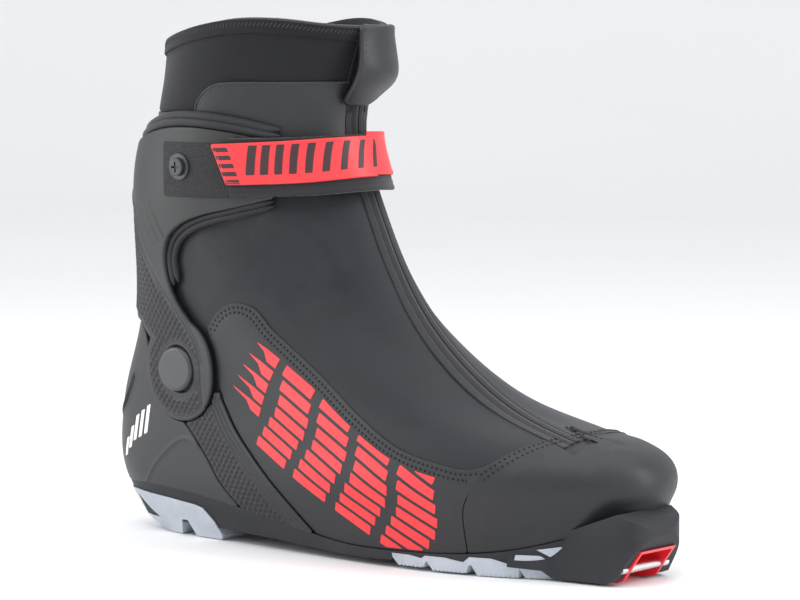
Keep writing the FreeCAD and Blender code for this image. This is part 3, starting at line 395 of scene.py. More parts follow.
def border_loops(faces):
    """Closed loops of the vertices on the mesh's open edges, in the order of the faces' edges."""
    open_edges = {}
    for face in faces:
        for a, b in zip(face, face[1:] + face[:1]):
            if (b, a) in open_edges:
                del open_edges[(b, a)]
            else:
                open_edges[(a, b)] = True
    following = {}
    for a, b in open_edges:
        following.setdefault(a, []).append(b)
    loops = []
    while following:
        start = next(iter(following))
        loop = [start]
        here = start
        while True:
            options = following.get(here)
            if not options:
                break
            step = options.pop()
            if not options:
                del following[here]
            if step == start:
                break
            loop.append(step)
            here = step
        if len(loop) > 2:
            loops.append(loop)
    return loops


def to_frame(points):
    return (points + DATUM) * MM


def mesh_object(name, points, faces):
    mesh = bpy.data.meshes.new(name)
    mesh.from_pydata(to_frame(points).tolist(), [], faces)
    mesh.update()
    mesh.polygons.foreach_set("use_smooth", [True] * len(mesh.polygons))
    piece = bpy.data.objects.new(name, mesh)
    bpy.context.scene.collection.objects.link(piece)
    return piece


EDGE_STEPS = 3


def panel(name, region, low, high, span=LATERAL, levels=(0.0, 12.0), cell=1.2, edge=0.5):
    """A closed sheet over a region of the skin, with rounded edges. Heights are over the skin."""
    patch = Patch(region, span, levels, cell, inset=edge)
    place = patch.place
    top = heights(high, place)
    bottom = heights(low, place)
    count = len(place.x)
    points = [place.point + place.normal * top[:, None], place.point + place.normal * bottom[:, None]]
    faces = list(patch.faces)
    faces += [[i + count for i in reversed(face)] for face in patch.faces]
    total = 2 * count
    for loop in patch.loops:
        ids = np.array(loop)
        out = patch.outward(ids)
        size = len(loop)
        previous = list(loop)
        thickness = np.minimum(edge, (top - bottom)[ids])
        for k in range(1, EDGE_STEPS + 2):
            angle = min(k / EDGE_STEPS, 1) * math.pi / 2
            drop = thickness * (1 - math.cos(angle))
            height = top[ids] - drop if k <= EDGE_STEPS else bottom[ids]
            ring = place.point[ids] + place.normal[ids] * height[:, None] + out * (edge * math.sin(angle))
            points.append(ring)
            numbers = list(range(total, total + size))
            total += size
            for i in range(size):
                j = (i + 1) % size
                faces.append([previous[j], previous[i], numbers[i], numbers[j]])
            previous = numbers
        for i in range(size):
            j = (i + 1) % size
            faces.append([previous[j], previous[i], loop[i] + count, loop[j] + count])
    return mesh_object(name, np.concatenate(points), faces)


# ----------------------------------------------------------------------
# Stitches, rolls and other small things that follow the skin
# ----------------------------------------------------------------------


def find_place(x, z, side):
    """The place on one flank of the skin at each (x, z) of the side view."""
    span = (0.0, 6.0) if side < 0 else (6.0, 12.0)
    grid = Place(*np.meshgrid(np.linspace(*span, 181), np.linspace(0, TOP, 241)))
    flat_x, flat_z = grid.x.ravel(), grid.z.ravel()
    us, vs = grid.u.ravel(), grid.v.ravel()
    u, v = np.zeros(len(x)), np.zeros(len(x))
    for i in range(len(x)):
        k = np.argmin((flat_x - x[i]) ** 2 + (flat_z - z[i]) ** 2)
        u[i], v[i] = us[k], vs[k]
    for _ in range(4):
        place = Place(u, v)
        a, b = place.along_u[:, 0], place.along_v[:, 0]
        c, d = place.along_u[:, 2], place.along_v[:, 2]
        det = a * d - b * c
        det = np.where(np.abs(det) < 1e-3, 1e9, det)
        miss_x, miss_z = x - place.x, z - place.z
        u = u + np.clip((d * miss_x - b * miss_z) / det, -0.1, 0.1)
        v = np.clip(v + np.clip((a * miss_z - c * miss_x) / det, -0.1, 0.1), 0, TOP)
    return Place(u, v)


def even_run(points, pitch):
    """Points a pitch apart along a run."""
    lengths = np.concatenate([[0], np.cumsum(np.linalg.norm(np.diff(points, axis=0), axis=1))])
    count = max(int(lengths[-1] / pitch), 1)
    wanted = np.linspace(0, lengths[-1], count + 1)
    return np.stack([np.interp(wanted, lengths, points[:, k]) for k in range(points.shape[1])], -1)


def even_places(place, pitch):
    """Places a pitch apart along a run of places."""
    even = even_run(np.concatenate([place.point, place.u[:, None], place.v[:, None]], -1), pitch)
    return Place(even[:, 3], even[:, 4])


def run_on_skin(run, side, pitch):
    """Even places along a run that is drawn in side view."""
    fine = even_run(smooth_run(run), 1.0)
    return even_places(find_place(fine[:, 0], fine[:, 1], side), pitch)


def edge_places(region, inset, pitch, span, levels, cell=1.2, keep=None):
    """Even places along the edge of a region, some way inside it: one run for each stretch that is kept."""
    patch = Patch(region, span, levels, cell, inset=inset)
    runs = []
    for loop in patch.loops:
        place = patch.place
        ids = np.array(loop + loop[:1])
        kept = np.ones(len(ids), bool) if keep is None else keep(Place(place.u[ids], place.v[ids]))
        if kept.all():
            stretches = [np.arange(len(ids))]
        else:
            first = int(np.argmin(kept))
            order = (np.arange(len(ids) - 1) + first) % (len(ids) - 1)
            breaks = np.nonzero(np.diff(kept[order].astype(int)) != 0)[0] + 1
            stretches = [part for part in np.split(order, breaks) if kept[part[0]] and len(part) > 3]
        for part in stretches:
            runs.append(even_places(Place(place.u[ids[part]], place.v[ids[part]]), pitch))
    return runs


def tangents(points):
    return unit(np.gradient(points, axis=0))


def stitch_row(name, runs, height, length=2.0, radius=0.32, slant=0.0, flat=0.6):
    """Rows of short threads that lie along the runs, each one a rounded bar."""
    sides, rings = 8, 5
    points, faces = [], []
    total = 0
    around = np.linspace(0, 2 * math.pi, sides, endpoint=False)
    for place in runs:
        level = heights(height, place)
        along = tangents(place.point)
        across = unit(np.cross(place.normal, along))
        turned = along * math.cos(slant) + across * math.sin(slant)
        other = unit(np.cross(place.normal, turned))
        centre = place.point + place.normal * level[:, None]
        for i in range(len(centre)):
            for k in range(rings):
                t = -1 + 2 * k / (rings - 1)
                r = radius * math.sqrt(max(1 - abs(t) ** 3, 0.04))
                middle = centre[i] + turned[i] * (t * length / 2) - place.normal[i] * (radius * 0.5 * t * t)
                ring = middle + np.outer(np.cos(around) * r, other[i])
                points.append(ring + np.outer(np.sin(around) * r * flat, place.normal[i]))
            for k in range(rings - 1):
                for s in range(sides):
                    a = total + k * sides + s
                    b = total + k * sides + (s + 1) % sides
                    faces.append([a, b, b + sides, a + sides])
            faces.append([total + s for s in reversed(range(sides))])
            faces.append([total + (rings - 1) * sides + s for s in range(sides)])
            total += rings * sides
    return mesh_object(name, np.concatenate(points), faces)


def roll(name, runs, height, width, depth, sides=14):
    """A padded roll or piping that follows the runs: an oval section, thin at its ends."""
    points, faces = [], []
    total = 0
    around = np.linspace(0, 2 * math.pi, sides, endpoint=False)
    for place in runs:
        level = heights(height, place)
        along = tangents(place.point)
        across = unit(np.cross(place.normal, along))
        count = len(place.x)
        t = np.linspace(0, 1, count)
        scale = np.sqrt(np.clip(np.minimum(t, 1 - t) * count / 3.0, 0.02, 1))
        for i in range(count):
            centre = place.point[i] + place.normal[i] * level[i]
            ring = centre + np.outer(np.cos(around) * width * 0.5 * scale[i], across[i])
            points.append(ring + np.outer(np.sin(around) * depth * 0.5 * scale[i], place.normal[i]))
        for i in range(count - 1):
            for s in range(sides):
                a = total + i * sides + s
                b = total + i * sides + (s + 1) % sides
                faces.append([a, b, b + sides, a + sides])
        faces.append([total + s for s in reversed(range(sides))])
        faces.append([total + (count - 1) * sides + s for s in range(sides)])
        total += count * sides
    return mesh_object(name, np.concatenate(points), faces)


# ----------------------------------------------------------------------
# Materials
# ----------------------------------------------------------------------


class Nodes:
    """A short way to write a node tree."""

    def __init__(self, name):
        self.material = bpy.data.materials.new(name)
        self.material.use_nodes = True
        self.tree = self.material.node_tree
        self.shader = self.tree.nodes["Principled BSDF"]
        self.position = self.tree.nodes.new("ShaderNodeTexCoord").outputs["Object"]

    def add(self, kind, inputs=(), **settings):
        node = self.tree.nodes.new(kind)
        for key, value in settings.items():
            setattr(node, key, value)
        for key, value in dict(inputs).items():
            if isinstance(value, bpy.types.NodeSocket):
                self.tree.links.new(value, node.inputs[key])
            else:
                node.inputs[key].default_value = value
        return node

    def scaled(self, size, stretch=(1, 1, 1)):
        """Object coordinates in units of a size in metres."""
        scale = [s / size for s in stretch]
        return self.add("ShaderNodeMapping", {"Vector": self.position, "Scale": scale}).outputs[0]

    def noise(self, size, detail=3.0, roughness=0.55, stretch=(1, 1, 1)):
        inputs = {"Vector": self.scaled(size, stretch), "Scale": 1.0}
        inputs.update({"Detail": detail, "Roughness": roughness})
        return self.add("ShaderNodeTexNoise", inputs).outputs["Fac"]

    def cells(self, size, feature="F1"):
        inputs = {"Vector": self.scaled(size), "Scale": 1.0}
        node = self.add("ShaderNodeTexVoronoi", inputs, feature=feature)
        return node.outputs["Distance"]

    def maths(self, operation, a, b=0.0, c=0.0):
        return self.add("ShaderNodeMath", {0: a, 1: b, 2: c}, operation=operation).outputs[0]

    def spread(self, value, low, high, to_low, to_high):
        inputs = {"Value": value, "From Min": low, "From Max": high, "To Min": to_low, "To Max": to_high}
        return self.add("ShaderNodeMapRange", inputs).outputs[0]

    def mix(self, factor, a, b):
        node = self.add("ShaderNodeMix", data_type="RGBA")
        for socket, value in ((node.inputs[0], factor), (node.inputs[6], a), (node.inputs[7], b)):
            if isinstance(value, bpy.types.NodeSocket):
                self.tree.links.new(value, socket)
            elif isinstance(value, (int, float)):
                socket.default_value = value
            else:
                socket.default_value = (*value, 1.0)
        return node.outputs[2]

    def weave(self, size):
        """Over and under threads: two crossed waves, from all three directions."""
        waves = []
        for direction in ("X", "Y", "Z"):
            inputs = {"Vector": self.scaled(size), "Scale": 1.0, "Distortion": 0.6, "Detail": 1.0}
            waves.append(self.add("ShaderNodeTexWave", inputs, bands_direction=direction).outputs["Fac"])
        first = self.maths("MULTIPLY", waves[0], waves[2])
        return self.maths("ADD", first, self.maths("MULTIPLY", waves[1], waves[2]))

    def put(self, socket, value):
        if isinstance(value, bpy.types.NodeSocket):
            self.tree.links.new(value, self.shader.inputs[socket])
        else:
            self.shader.inputs[socket].default_value = value

    def bumps(self, layers):
        """Chains bump maps: (height, strength, distance in metres)."""
        normal = None
        for height, strength, distance in layers:
            inputs = {"Height": height, "Strength": strength, "Distance": distance}
            if normal is not None:
                inputs["Normal"] = normal
            normal = self.add("ShaderNodeBump", inputs).outputs[0]
        self.put("Normal", normal)


def shade(color, factor, lift=0.0):
    return tuple(min(c * factor + lift, 1) for c in color)


def finish_surface(nodes, color, dark, light, rough, rough_span, wear=0.0):
    """Colour with soft patches and pale worn edges, and uneven roughness."""
    patches = nodes.noise(0.022, 4)
    fine = nodes.noise(0.0012, 3)
    tint = nodes.mix(nodes.spread(patches, 0.35, 0.68, 0, 1), shade(color, dark), shade(color, light))
    tint = nodes.mix(nodes.spread(fine, 0.3, 0.7, 0, 0.35), tint, shade(color, 1.5, 0.004))
    if wear > 0:
        edge = nodes.add("ShaderNodeNewGeometry").outputs["Pointiness"]
        uneven = nodes.spread(patches, 0.3, 0.6, 0.4, 1)
        worn = nodes.maths("MULTIPLY", nodes.spread(edge, 0.51, 0.60, 0, wear), uneven)
        tint = nodes.mix(worn, tint, shade(color, 2.2, 0.02))
    nodes.put("Base Color", tint)
    uneven = nodes.maths("ADD", nodes.maths("MULTIPLY", patches, 0.6), nodes.maths("MULTIPLY", fine, 0.4))
    nodes.put("Roughness", nodes.spread(uneven, 0.3, 0.7, rough - rough_span, rough + rough_span))


def cloth(name, color, thread=0.0006, rough=0.72, sheen=0.12, strength=0.35, fold=0.12):
    nodes = Nodes(name)
    finish_surface(nodes, color, 0.85, 1.18, rough, 0.07)
    nodes.put("Sheen Weight", sheen)
    nodes.put("Sheen Roughness", 0.4)
    nodes.put("Specular IOR Level", 0.3)
    nodes.bumps([
        (nodes.noise(0.012, 3), fold, 0.0012),
        (nodes.weave(thread), strength, 0.00012),
        (nodes.noise(0.0005, 2), 0.2, 0.0001),
    ])
    return nodes.material


def plastic(name, color, rough=0.45, grain=0.0006, strength=0.18, coat=0.0, wear=0.25):
    nodes = Nodes(name)
    finish_surface(nodes, color, 0.9, 1.12, rough, 0.06, wear)
    nodes.put("Specular IOR Level", 0.5)
    if coat > 0:
        nodes.put("Coat Weight", coat)
        nodes.put("Coat Roughness", 0.25)
    nodes.bumps([(nodes.noise(0.015, 2), 0.05, 0.001), (nodes.cells(grain), strength, 0.00008)])
    return nodes.material


def leather(name, color, rough=0.48, pore=0.0009, strength=0.3):
    nodes = Nodes(name)
    finish_surface(nodes, color, 0.85, 1.2, rough, 0.08, 0.3)
    nodes.put("Specular IOR Level", 0.45)
    nodes.bumps([
        (nodes.noise(0.008, 3), 0.25, 0.0008),
        (nodes.cells(pore), strength, 0.00015),
        (nodes.noise(0.0006, 2), 0.15, 0.0001),
    ])
    return nodes.material


def rubber(name, color, rough=0.62, strength=0.25, wear=0.3):
    nodes = Nodes(name)
    finish_surface(nodes, color, 0.88, 1.15, rough, 0.08, wear)
    nodes.put("Specular IOR Level", 0.4)
    nodes.bumps([(nodes.noise(0.006, 3), 0.12, 0.0006), (nodes.noise(0.0005, 3), strength, 0.0001)])
    return nodes.material


def metal(name, color, rough=0.32, metallic=1.0):
    nodes = Nodes(name)
    finish_surface(nodes, color, 0.9, 1.08, rough, 0.07, 0.4)
    nodes.put("Metallic", metallic)
    brushed = nodes.noise(0.0008, 2, stretch=(1, 0.05, 1))
    nodes.bumps([(brushed, 0.2, 0.00006), (nodes.noise(0.004, 3), 0.1, 0.0002)])
    return nodes.material


def hook_tape(name, color):
    """Fields of tiny hooks: painted highlight on their tips and painted shade on the ground between them."""
    nodes = Nodes(name)
    dots = nodes.cells(0.00085)
    ground = nodes.spread(dots, 0.15, 0.5, 0, 1)
    # Painted highlight and shade: hook tips at 2.6 times the tape colour, the ground between hooks at half
    # of it.
    nodes.put("Base Color", nodes.mix(ground, shade(color, 2.6), shade(color, 0.5)))
    nodes.put("Roughness", 0.6)
    nodes.bumps([(nodes.spread(dots, 0.1, 0.5, 1, 0), 0.9, 0.0006)])
    return nodes.material


SOFTSHELL = (0.011, 0.012, 0.016)
materials = {
    "softshell": cloth("softshell", SOFTSHELL, 0.0005, 0.46, 0.08, 0.22, 0.16),
    "liner_cloth": cloth("liner_cloth", (0.015, 0.0155, 0.018), 0.0009, 0.85, 0.2, 0.4),
    "foam_cloth": cloth("foam_cloth", (0.08, 0.08, 0.09), 0.0012, 0.85, 0.4, 0.5),
    "board": cloth("board", (0.2, 0.19, 0.18), 0.001, 0.9, 0.1, 0.5),
    "neoprene": cloth("neoprene", (0.008, 0.0085, 0.011), 0.0007, 0.8, 0.15, 0.3),
    "binding": cloth("binding", (0.006, 0.006, 0.0075), 0.0008, 0.75, 0.12, 0.5),
    "padding": cloth("padding", (0.015, 0.0155, 0.018), 0.0007, 0.5, 0.12, 0.25, 0.25),
    "webbing": cloth("webbing", (0.0175, 0.018, 0.02), 0.0011, 0.7, 0.3, 0.7),
    "zip_cloth": cloth("zip_cloth", (0.0175, 0.018, 0.02), 0.0007, 0.6, 0.2, 0.5),
    "lace": cloth("lace", (0.025, 0.025, 0.0275), 0.0009, 0.75, 0.3, 0.7),
    "zip_plastic": plastic("zip_plastic", (0.008, 0.008, 0.010), 0.4),
    "printed_film": leather("printed_film", (0.0135, 0.015, 0.017), 0.52, 0.0008, 0.16),
    "moulded_film": leather("moulded_film", (0.012, 0.013, 0.0155), 0.5, 0.0009, 0.12),
    "counter_plastic": plastic("counter_plastic", (0.018, 0.019, 0.0195), 0.48, 0.0007, 0.12),
    "textured_plastic": plastic("textured_plastic", (0.012, 0.0125, 0.0145), 0.46, 0.0008, 0.15, wear=0.5),
    "cuff_plastic": plastic("cuff_plastic", (0.02, 0.0215, 0.0215), 0.5, 0.0006, 0.12),
    "synthetic_leather": leather("synthetic_leather", (0.014, 0.015, 0.017), 0.46),
    "hook_tape": hook_tape("hook_tape", (0.01, 0.0105, 0.013)),
    "red_strap": plastic("red_strap", (0.66, 0.030, 0.036), 0.42, 0.0007, 0.3, wear=0.0),
    "red_print": plastic("red_print", (0.70, 0.030, 0.036), 0.45, 0.0006, 0.15, wear=0.0),
    "dark_print": plastic("dark_print", (0.03, 0.012, 0.014), 0.5, 0.0006, 0.15, wear=0.0),
    "white_print": plastic("white_print", (0.75, 0.76, 0.77), 0.45, 0.0006, 0.15, wear=0.0),
    "cap_plastic": plastic("cap_plastic", (0.030, 0.032, 0.033), 0.42, 0.0008, 0.08, coat=0.25),
    "red_plastic": plastic("red_plastic", (0.72, 0.018, 0.030), 0.33, 0.0009, 0.1, coat=0.3, wear=0.15),
    "sole_rubber": rubber("sole_rubber", (0.011, 0.012, 0.015)),
    "tread_rubber": rubber("tread_rubber", (0.36, 0.39, 0.43), 0.5, 0.15, 0.15),
    "carbon": plastic("carbon", (0.02, 0.02, 0.02), 0.4),
    "steel": metal("steel", (0.62, 0.62, 0.63), 0.28),
    "dark_metal": metal("dark_metal", (0.055, 0.058, 0.06), 0.42, 0.8),
    # thread: near-black for the toe rows and the zip's end tack, and painted shade for the overlay's
    # perforation dots.
    "thread": cloth("thread", (0.003, 0.003, 0.004), 0.0004, 0.65, 0.2, 0.5),
    "grey_thread": cloth("grey_thread", (0.030, 0.032, 0.037), 0.0004, 0.65, 0.2, 0.5),
}


def dress(piece, body, slot, material=None, nodes=()):
    """Gives a piece the material named or that of its slot, hangs it on its body's empty (ankle and strap
    pieces only get their transform baked), and hides the CAD nodes it stands for.
    """
    piece.data.materials.clear()
    piece.data.materials.append(materials[material or slot])
    if body == "ankle":
        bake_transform(piece)
    elif body == "strap":
        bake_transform(piece)
    else:
        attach(piece, body)
    if nodes:
        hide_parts(*nodes)
    return piece


PIVOT_X, PIVOT_Z = -84.0, 79.0


HALVINGS = 30


def halving(low, high, passed):
    """Between low and high, the value at which a condition starts to hold."""
    for _ in range(HALVINGS):
        middle = (low + high) / 2
        over = passed(middle)
        high = np.where(over, middle, high)
        low = np.where(over, low, middle)
    return (low + high) / 2


def solve_level(target, us):
    """The places over each u where a rising function of the place is zero."""
    levels = halving(np.zeros_like(us), np.full_like(us, float(TOP)), lambda v: target(Place(us, v)) > 0)
    return Place(us, levels)


def level_run(target, start, end, pitch):
    """Even places round the skin where a rising function is zero."""
    return even_places(solve_level(target, np.linspace(start, end, 400)), pitch)


def zip_run(across, low_v, high_v, pitch):
    """Even places along the zip, at a distance from its line."""
    vs = np.linspace(low_v, high_v, 300)
    edge = np.full_like(vs, 1.6)
    us = halving(-edge, edge, lambda u: ~(Place(u, vs).across > across))
    return even_places(Place(us, vs), pitch)


OVERLAY_TOP = [
    (-66, 99), (-60, 106.5), (-51.6, 110.6), (-41, 109), (-29, 99.7), (-1.5, 82.8), (26.5, 65.6),
    (50, 53.6), (71, 48.4), (85, 46.6), (94, 48.6),
]
TOE_EDGE = [(80, 5), (82.6, 28.5), (87, 36), (94, 42.6), (103, 50), (112, 56), (122, 61.5), (128, 70)]
TOE_SEAM = [
    (80, 5), (82.4, 28.5), (87, 37.4), (92, 47.4), (98.5, 52.4), (108.5, 59.2), (119.5, 66), (127, 74),
]
FRAME_FRONT = [(-58, 66), (-51, 55), (-39, 42.3), (-22, 26.4), (-9, 14), (-1, 7)]
COUNTER_FRONT = [(-104.5, 66), (-98, 63.5), (-86.7, 57), (-70.5, 40.5), (-61.6, 28.5), (-46, 14)]
COUNTER_TOP = [(-160, 94), (-128, 97.5), (-116, 96.5), (-110.5, 90), (-108, 80), (-104.5, 66)]
CUFF_EDGE = [
    (-34, 158), (-52, 153.6), (-68, 150), (-80, 145.5), (-88, 139), (-91, 130), (-87.5, 116),
    (-77, 103.5), (-67, 96),
]
CUFF_TOP = [(-160, 158), (-128, 171), (-112, 181.5), (-90, 188.6), (-70, 190), (-50, 187.6), (-36, 184)]
ARM_RADIUS = 24.0
SIDES = (("lateral", -1, LATERAL), ("medial", 1, MEDIAL))


def zip_slot(half_width, end_x=ZIP_END[0]):
    return all_of(strip(-half_width, half_width), lambda p: p.x + 45, lambda p: end_x - p.x)


def zip_zone(p):
    corners = outline((-40, 135), (20, 100), (60, 40), (ZIP_END[0], 20), (ZIP_END[0], 222), (-40, 222))
    return within(corners, p.x, p.z)


def arm_point(degrees):
    angle = math.radians(degrees)
    return (PIVOT_X + ARM_RADIUS * math.cos(angle), PIVOT_Z + ARM_RADIUS * math.sin(angle))


def folds(p):
    """Soft creases of the softshell in front of the ankle, none under the overlays."""
    free = ramp(p.z - np.interp(p.x, *smooth_run(OVERLAY_TOP).T), 2, 12) * ramp(190 - p.z, 0, 10)
    free = free * ramp(p.x + 95, 0, 15)
    creases = (
        ([(-36, 151), (-24, 147), (-12, 138), (-4, 126)], 6.0, 1.4),
        ([(-62, 146), (-48, 140), (-30, 128), (-16, 114)], 7.0, -0.9),
        ([(-72, 132), (-58, 124), (-44, 116)], 6.0, 0.9),
        ([(-2, 118), (8, 106), (20, 96)], 6.0, -0.5),
        ([(-30, 112), (-12, 100), (8, 86)], 8.0, 0.4),
    )
    height = 0.25 * np.sin(p.x / 11 + p.z / 17 + p.u * 2)
    for run, width, rise in creases:
        height = height + rise * bump(near(run)(p), width)
    return height * free


# Depths under the skin, from the softshell inwards, and heights of the layers over it.
SOFTSHELL_INSIDE = -1.5
LINING_OUTSIDE, LINING_INSIDE = -1.65, -3.55
TONGUE_OUTSIDE, TONGUE_INSIDE = -5.6, -8.8
UNDER_FILM = 0.05
FILM = 0.9
COUNTER_OUTSIDE = 1.9
LATTICE_PITCH = 3.4


def make_upper():
    region = all_of(above(FLOOR, 0.4), lambda p: COLLAR_SEAM - p.z, outside_of(zip_slot(1.5)))
    shell = panel("softshell_upper", region, SOFTSHELL_INSIDE, folds, ALL_ROUND, cell=1.8, edge=0.3)
    nodes = ["softshell_vamp", "softshell_quarter_lateral", "softshell_quarter_medial", "softshell_heel"]
    dress(shell, "ankle", "softshell", nodes=nodes + ["ankle_flex_shell", "shaft_softshell"])
    throat = all_of(zip_slot(15, 96), lambda p: p.x + 45)
    region = all_of(above(FLOOR, 3.4), lambda p: COLLAR_SEAM - 0.2 - p.z, outside_of(throat))
    lining = panel("lining", region, LINING_INSIDE, LINING_OUTSIDE, ALL_ROUND, cell=3.0, edge=0.6)
    dress(lining, "ankle", "liner_cloth", nodes=["liner_lower", "ankle_flex_liner", "liner_upper"])
    region = all_of(strip(-21, 21), lambda p: 92 - p.x, below(RIM, 7), above(FLOOR, 20), lambda p: p.x + 45)

    def quilt(p):
        """Sewn channels along and across the tongue."""
        along = 0.7 * bump(np.abs(p.across) - 9, 1.6)
        return TONGUE_OUTSIDE - along - 0.5 * bump(np.mod(p.z, 22) - 11, 1.6)

    tongue = panel("padded_tongue", region, TONGUE_INSIDE, quilt, (-2.6, 2.6), cell=1.8, edge=1.2)
    dress(tongue, "ankle", "liner_cloth", nodes=["tongue"])
    laces = bpy.data.objects.new("lace_cord", frame["nodes"]["laces"].data.copy())
    bpy.context.scene.collection.objects.link(laces)
    dress(laces, "ankle", "lace", nodes=["laces"])


ZIP_LEVELS = (4.0, 11.8)
TAPE_EDGE = 8.5
SLIT = 0.45
COIL_HALF_WIDTH = 1.9


def make_zip():
    def swell(p):
        out = np.abs(p.across)
        return 0.72 + 0.5 * bump(out - 2.3, 1.1) - 0.4 * bump(out - 4.7, 0.6)

    for name, low, high in (("lateral", -TAPE_EDGE, -SLIT), ("medial", SLIT, TAPE_EDGE)):
        region = all_of(strip(low, high), zip_zone)
        tape = panel(f"zip_tape_{name}", region, UNDER_FILM, swell, (-1.6, 1.6), ZIP_LEVELS, 0.55, 0.3)
        dress(tape, "ankle", "zip_cloth", nodes=["zip_tape"] if name == "lateral" else ())
        side = -1 if name == "lateral" else 1
        runs = [zip_run(side * across, 4.75, 11.5, 2.6) for across in (7.3, 5.9)]
        seam = stitch_row(f"zip_seam_{name}", runs, 0.72, 1.9, 0.2)
        dress(seam, "ankle", "zip_cloth", "grey_thread")
    region = all_of(strip(-COIL_HALF_WIDTH, COIL_HALF_WIDTH), zip_zone)
    teeth = panel("zip_coil", region, -1.4, 0.2, (-1.2, 1.2), ZIP_LEVELS, 0.8, 0.3)
    dress(teeth, "ankle", "zip_plastic", nodes=["zip_teeth"])
    runs = [zip_run(0.0, 4.5, 11.5, 1.5)]
    links = stitch_row("zip_links", runs, 0.25, 3.4, 0.42, slant=math.pi / 2)
    dress(links, "ankle", "zip_plastic")
    end = Place(np.full(5, 0.28), np.linspace(4.52, 4.66, 5))
    tack = stitch_row("zip_end_tack", [end], 1.2, 3.6, 0.35, slant=math.pi / 2)
    dress(tack, "root", "zip_plastic", "thread", nodes=["zip_stop"])


def overlay_region(inset=0.0):
    front = [(x + 1.6, z) for x, z in reversed(FRAME_FRONT)]
    shape = drawn(OVERLAY_TOP, [(94, 44), (87, 37), (82.2, 28.5), (79.6, 5)], (3, 5), front)
    arm = disc(PIVOT_X, PIVOT_Z, ARM_RADIUS + 0.6)
    region = all_of(shape, above(LIP, 0.2), outside_of(zip_slot(9)), outside_of(arm))
    return lambda p: region(p) - inset


def make_overlays():
    to_top = near(OVERLAY_TOP)
    groove = lambda p: FILM - 0.22 * bump(to_top(p) - 2.0, 0.55) - 0.22 * bump(to_top(p) - 4.3, 0.55)
    for name, side, span in SIDES:
        overlay = panel(f"overlay_{name}", overlay_region(), UNDER_FILM, groove, span, cell=0.9, edge=0.45)
        dress(overlay, "root", "printed_film", nodes=[f"side_overlay_{name}"])
        runs = []
        for inset in (2.0, 4.3):
            keep = lambda p, inset=inset: to_top(p) < inset + 0.6
            runs += edge_places(overlay_region(), inset, 2.35, span, (0, TOP), keep=keep)
        # Raised near-black dots in the grooves stand in for the overlay's perforations: their dark colour is
        # painted shade of the holes.
        holes = stitch_row(f"overlay_perforation_shade_dots_{name}", runs, 0.8, 1.45, 0.62)
        dress(holes, "root", "printed_film", "thread")
        cap_rows = []
        for rise in (0.8, 3.2):
            run = [(x - rise * 0.62, z + rise * 0.78) for x, z in TOE_EDGE[3:7]]
            cap_rows.append(run_on_skin(run, side, 2.35))
        rows = stitch_row(f"toe_stitches_{name}", cap_rows, 0.9, 1.45, 0.62)
        dress(rows, "root", "moulded_film", "thread")
    toe = all_of(drawn(TOE_SEAM, (170, 74), (170, 5)), above(LIP, 0.3), outside_of(zip_slot(9, 124)))
    bulge = lambda p: FILM + 0.5 * ramp(toe(p), 5, 11)
    cap = panel("toe_cap_shell", toe, 0.0, bulge, ALL_ROUND, (0, 6.5), 1.2, 0.4)
    dress(cap, "root", "moulded_film", nodes=["toe_cap"])


READING = (0.88, -0.475)
UPRIGHT = (0.40, 0.917)
GRAPHIC_START = (-33.0, 53.0)


def graphic(corners):
    """Corners given along the graphic's slanted axes, as a region of the side view."""
    places = []
    for a, b in corners:
        x = GRAPHIC_START[0] + a * READING[0] + b * UPRIGHT[0]
        places.append((x, GRAPHIC_START[1] + a * READING[1] + b * UPRIGHT[1]))
    shape = np.array(places)
    return lambda p: within(shape, p.x, p.z)


STRIPE_PITCH, STRIPE_WIDTH = 6.0, 4.5
STRIPE_COUNT = 8
BLOCK_COUNT, BLOCK_PITCH, BLOCK_WIDTH = 4, 26.5, 20.5


def make_graphics():
    """Speed stripes that swell into striped arrow blocks along the flank."""
    stripes = []
    half = (STRIPE_COUNT - 1) / 2
    for k in range(STRIPE_COUNT):
        low = k * STRIPE_PITCH - 5.0
        top = low + STRIPE_WIDTH
        lean = 7.0 * (1 - abs(k - half) / half)
        if k >= 2:
            tip = -27 + 1.2 * k
            neck = low + STRIPE_WIDTH * 0.62
            spike = [(tip, top - 0.6), (-12, top), (-3, top), (-3, low), (-9, low), (-13, neck)]
            stripes.append(graphic(spike))
        for block in range(BLOCK_COUNT):
            start = block * BLOCK_PITCH
            foot, head = start + lean, start + lean * 0.9
            corners = [(foot, low), (foot + BLOCK_WIDTH, low), (head + BLOCK_WIDTH, top), (head, top)]
            stripes.append(graphic(corners))
    region = all_of(any_of(*stripes), overlay_region(1.2), lambda p: near(OVERLAY_TOP)(p) - 5.6)
    ink = panel("flank_stripes", region, 0.8, 1.08, LATERAL, (0.2, 9.0), 0.5, 0.1)
    dress(ink, "root", "printed_film", "red_print")


def lattice(p, pitch, slope=0.75):
    """Crossed ridges from 0 to 1, drawn in side view."""
    a = (p.x + slope * p.z) / pitch
    b = (p.x - slope * p.z) / pitch
    return np.maximum(np.abs(np.cos(math.pi * a)) ** 6, np.abs(np.cos(math.pi * b)) ** 6)


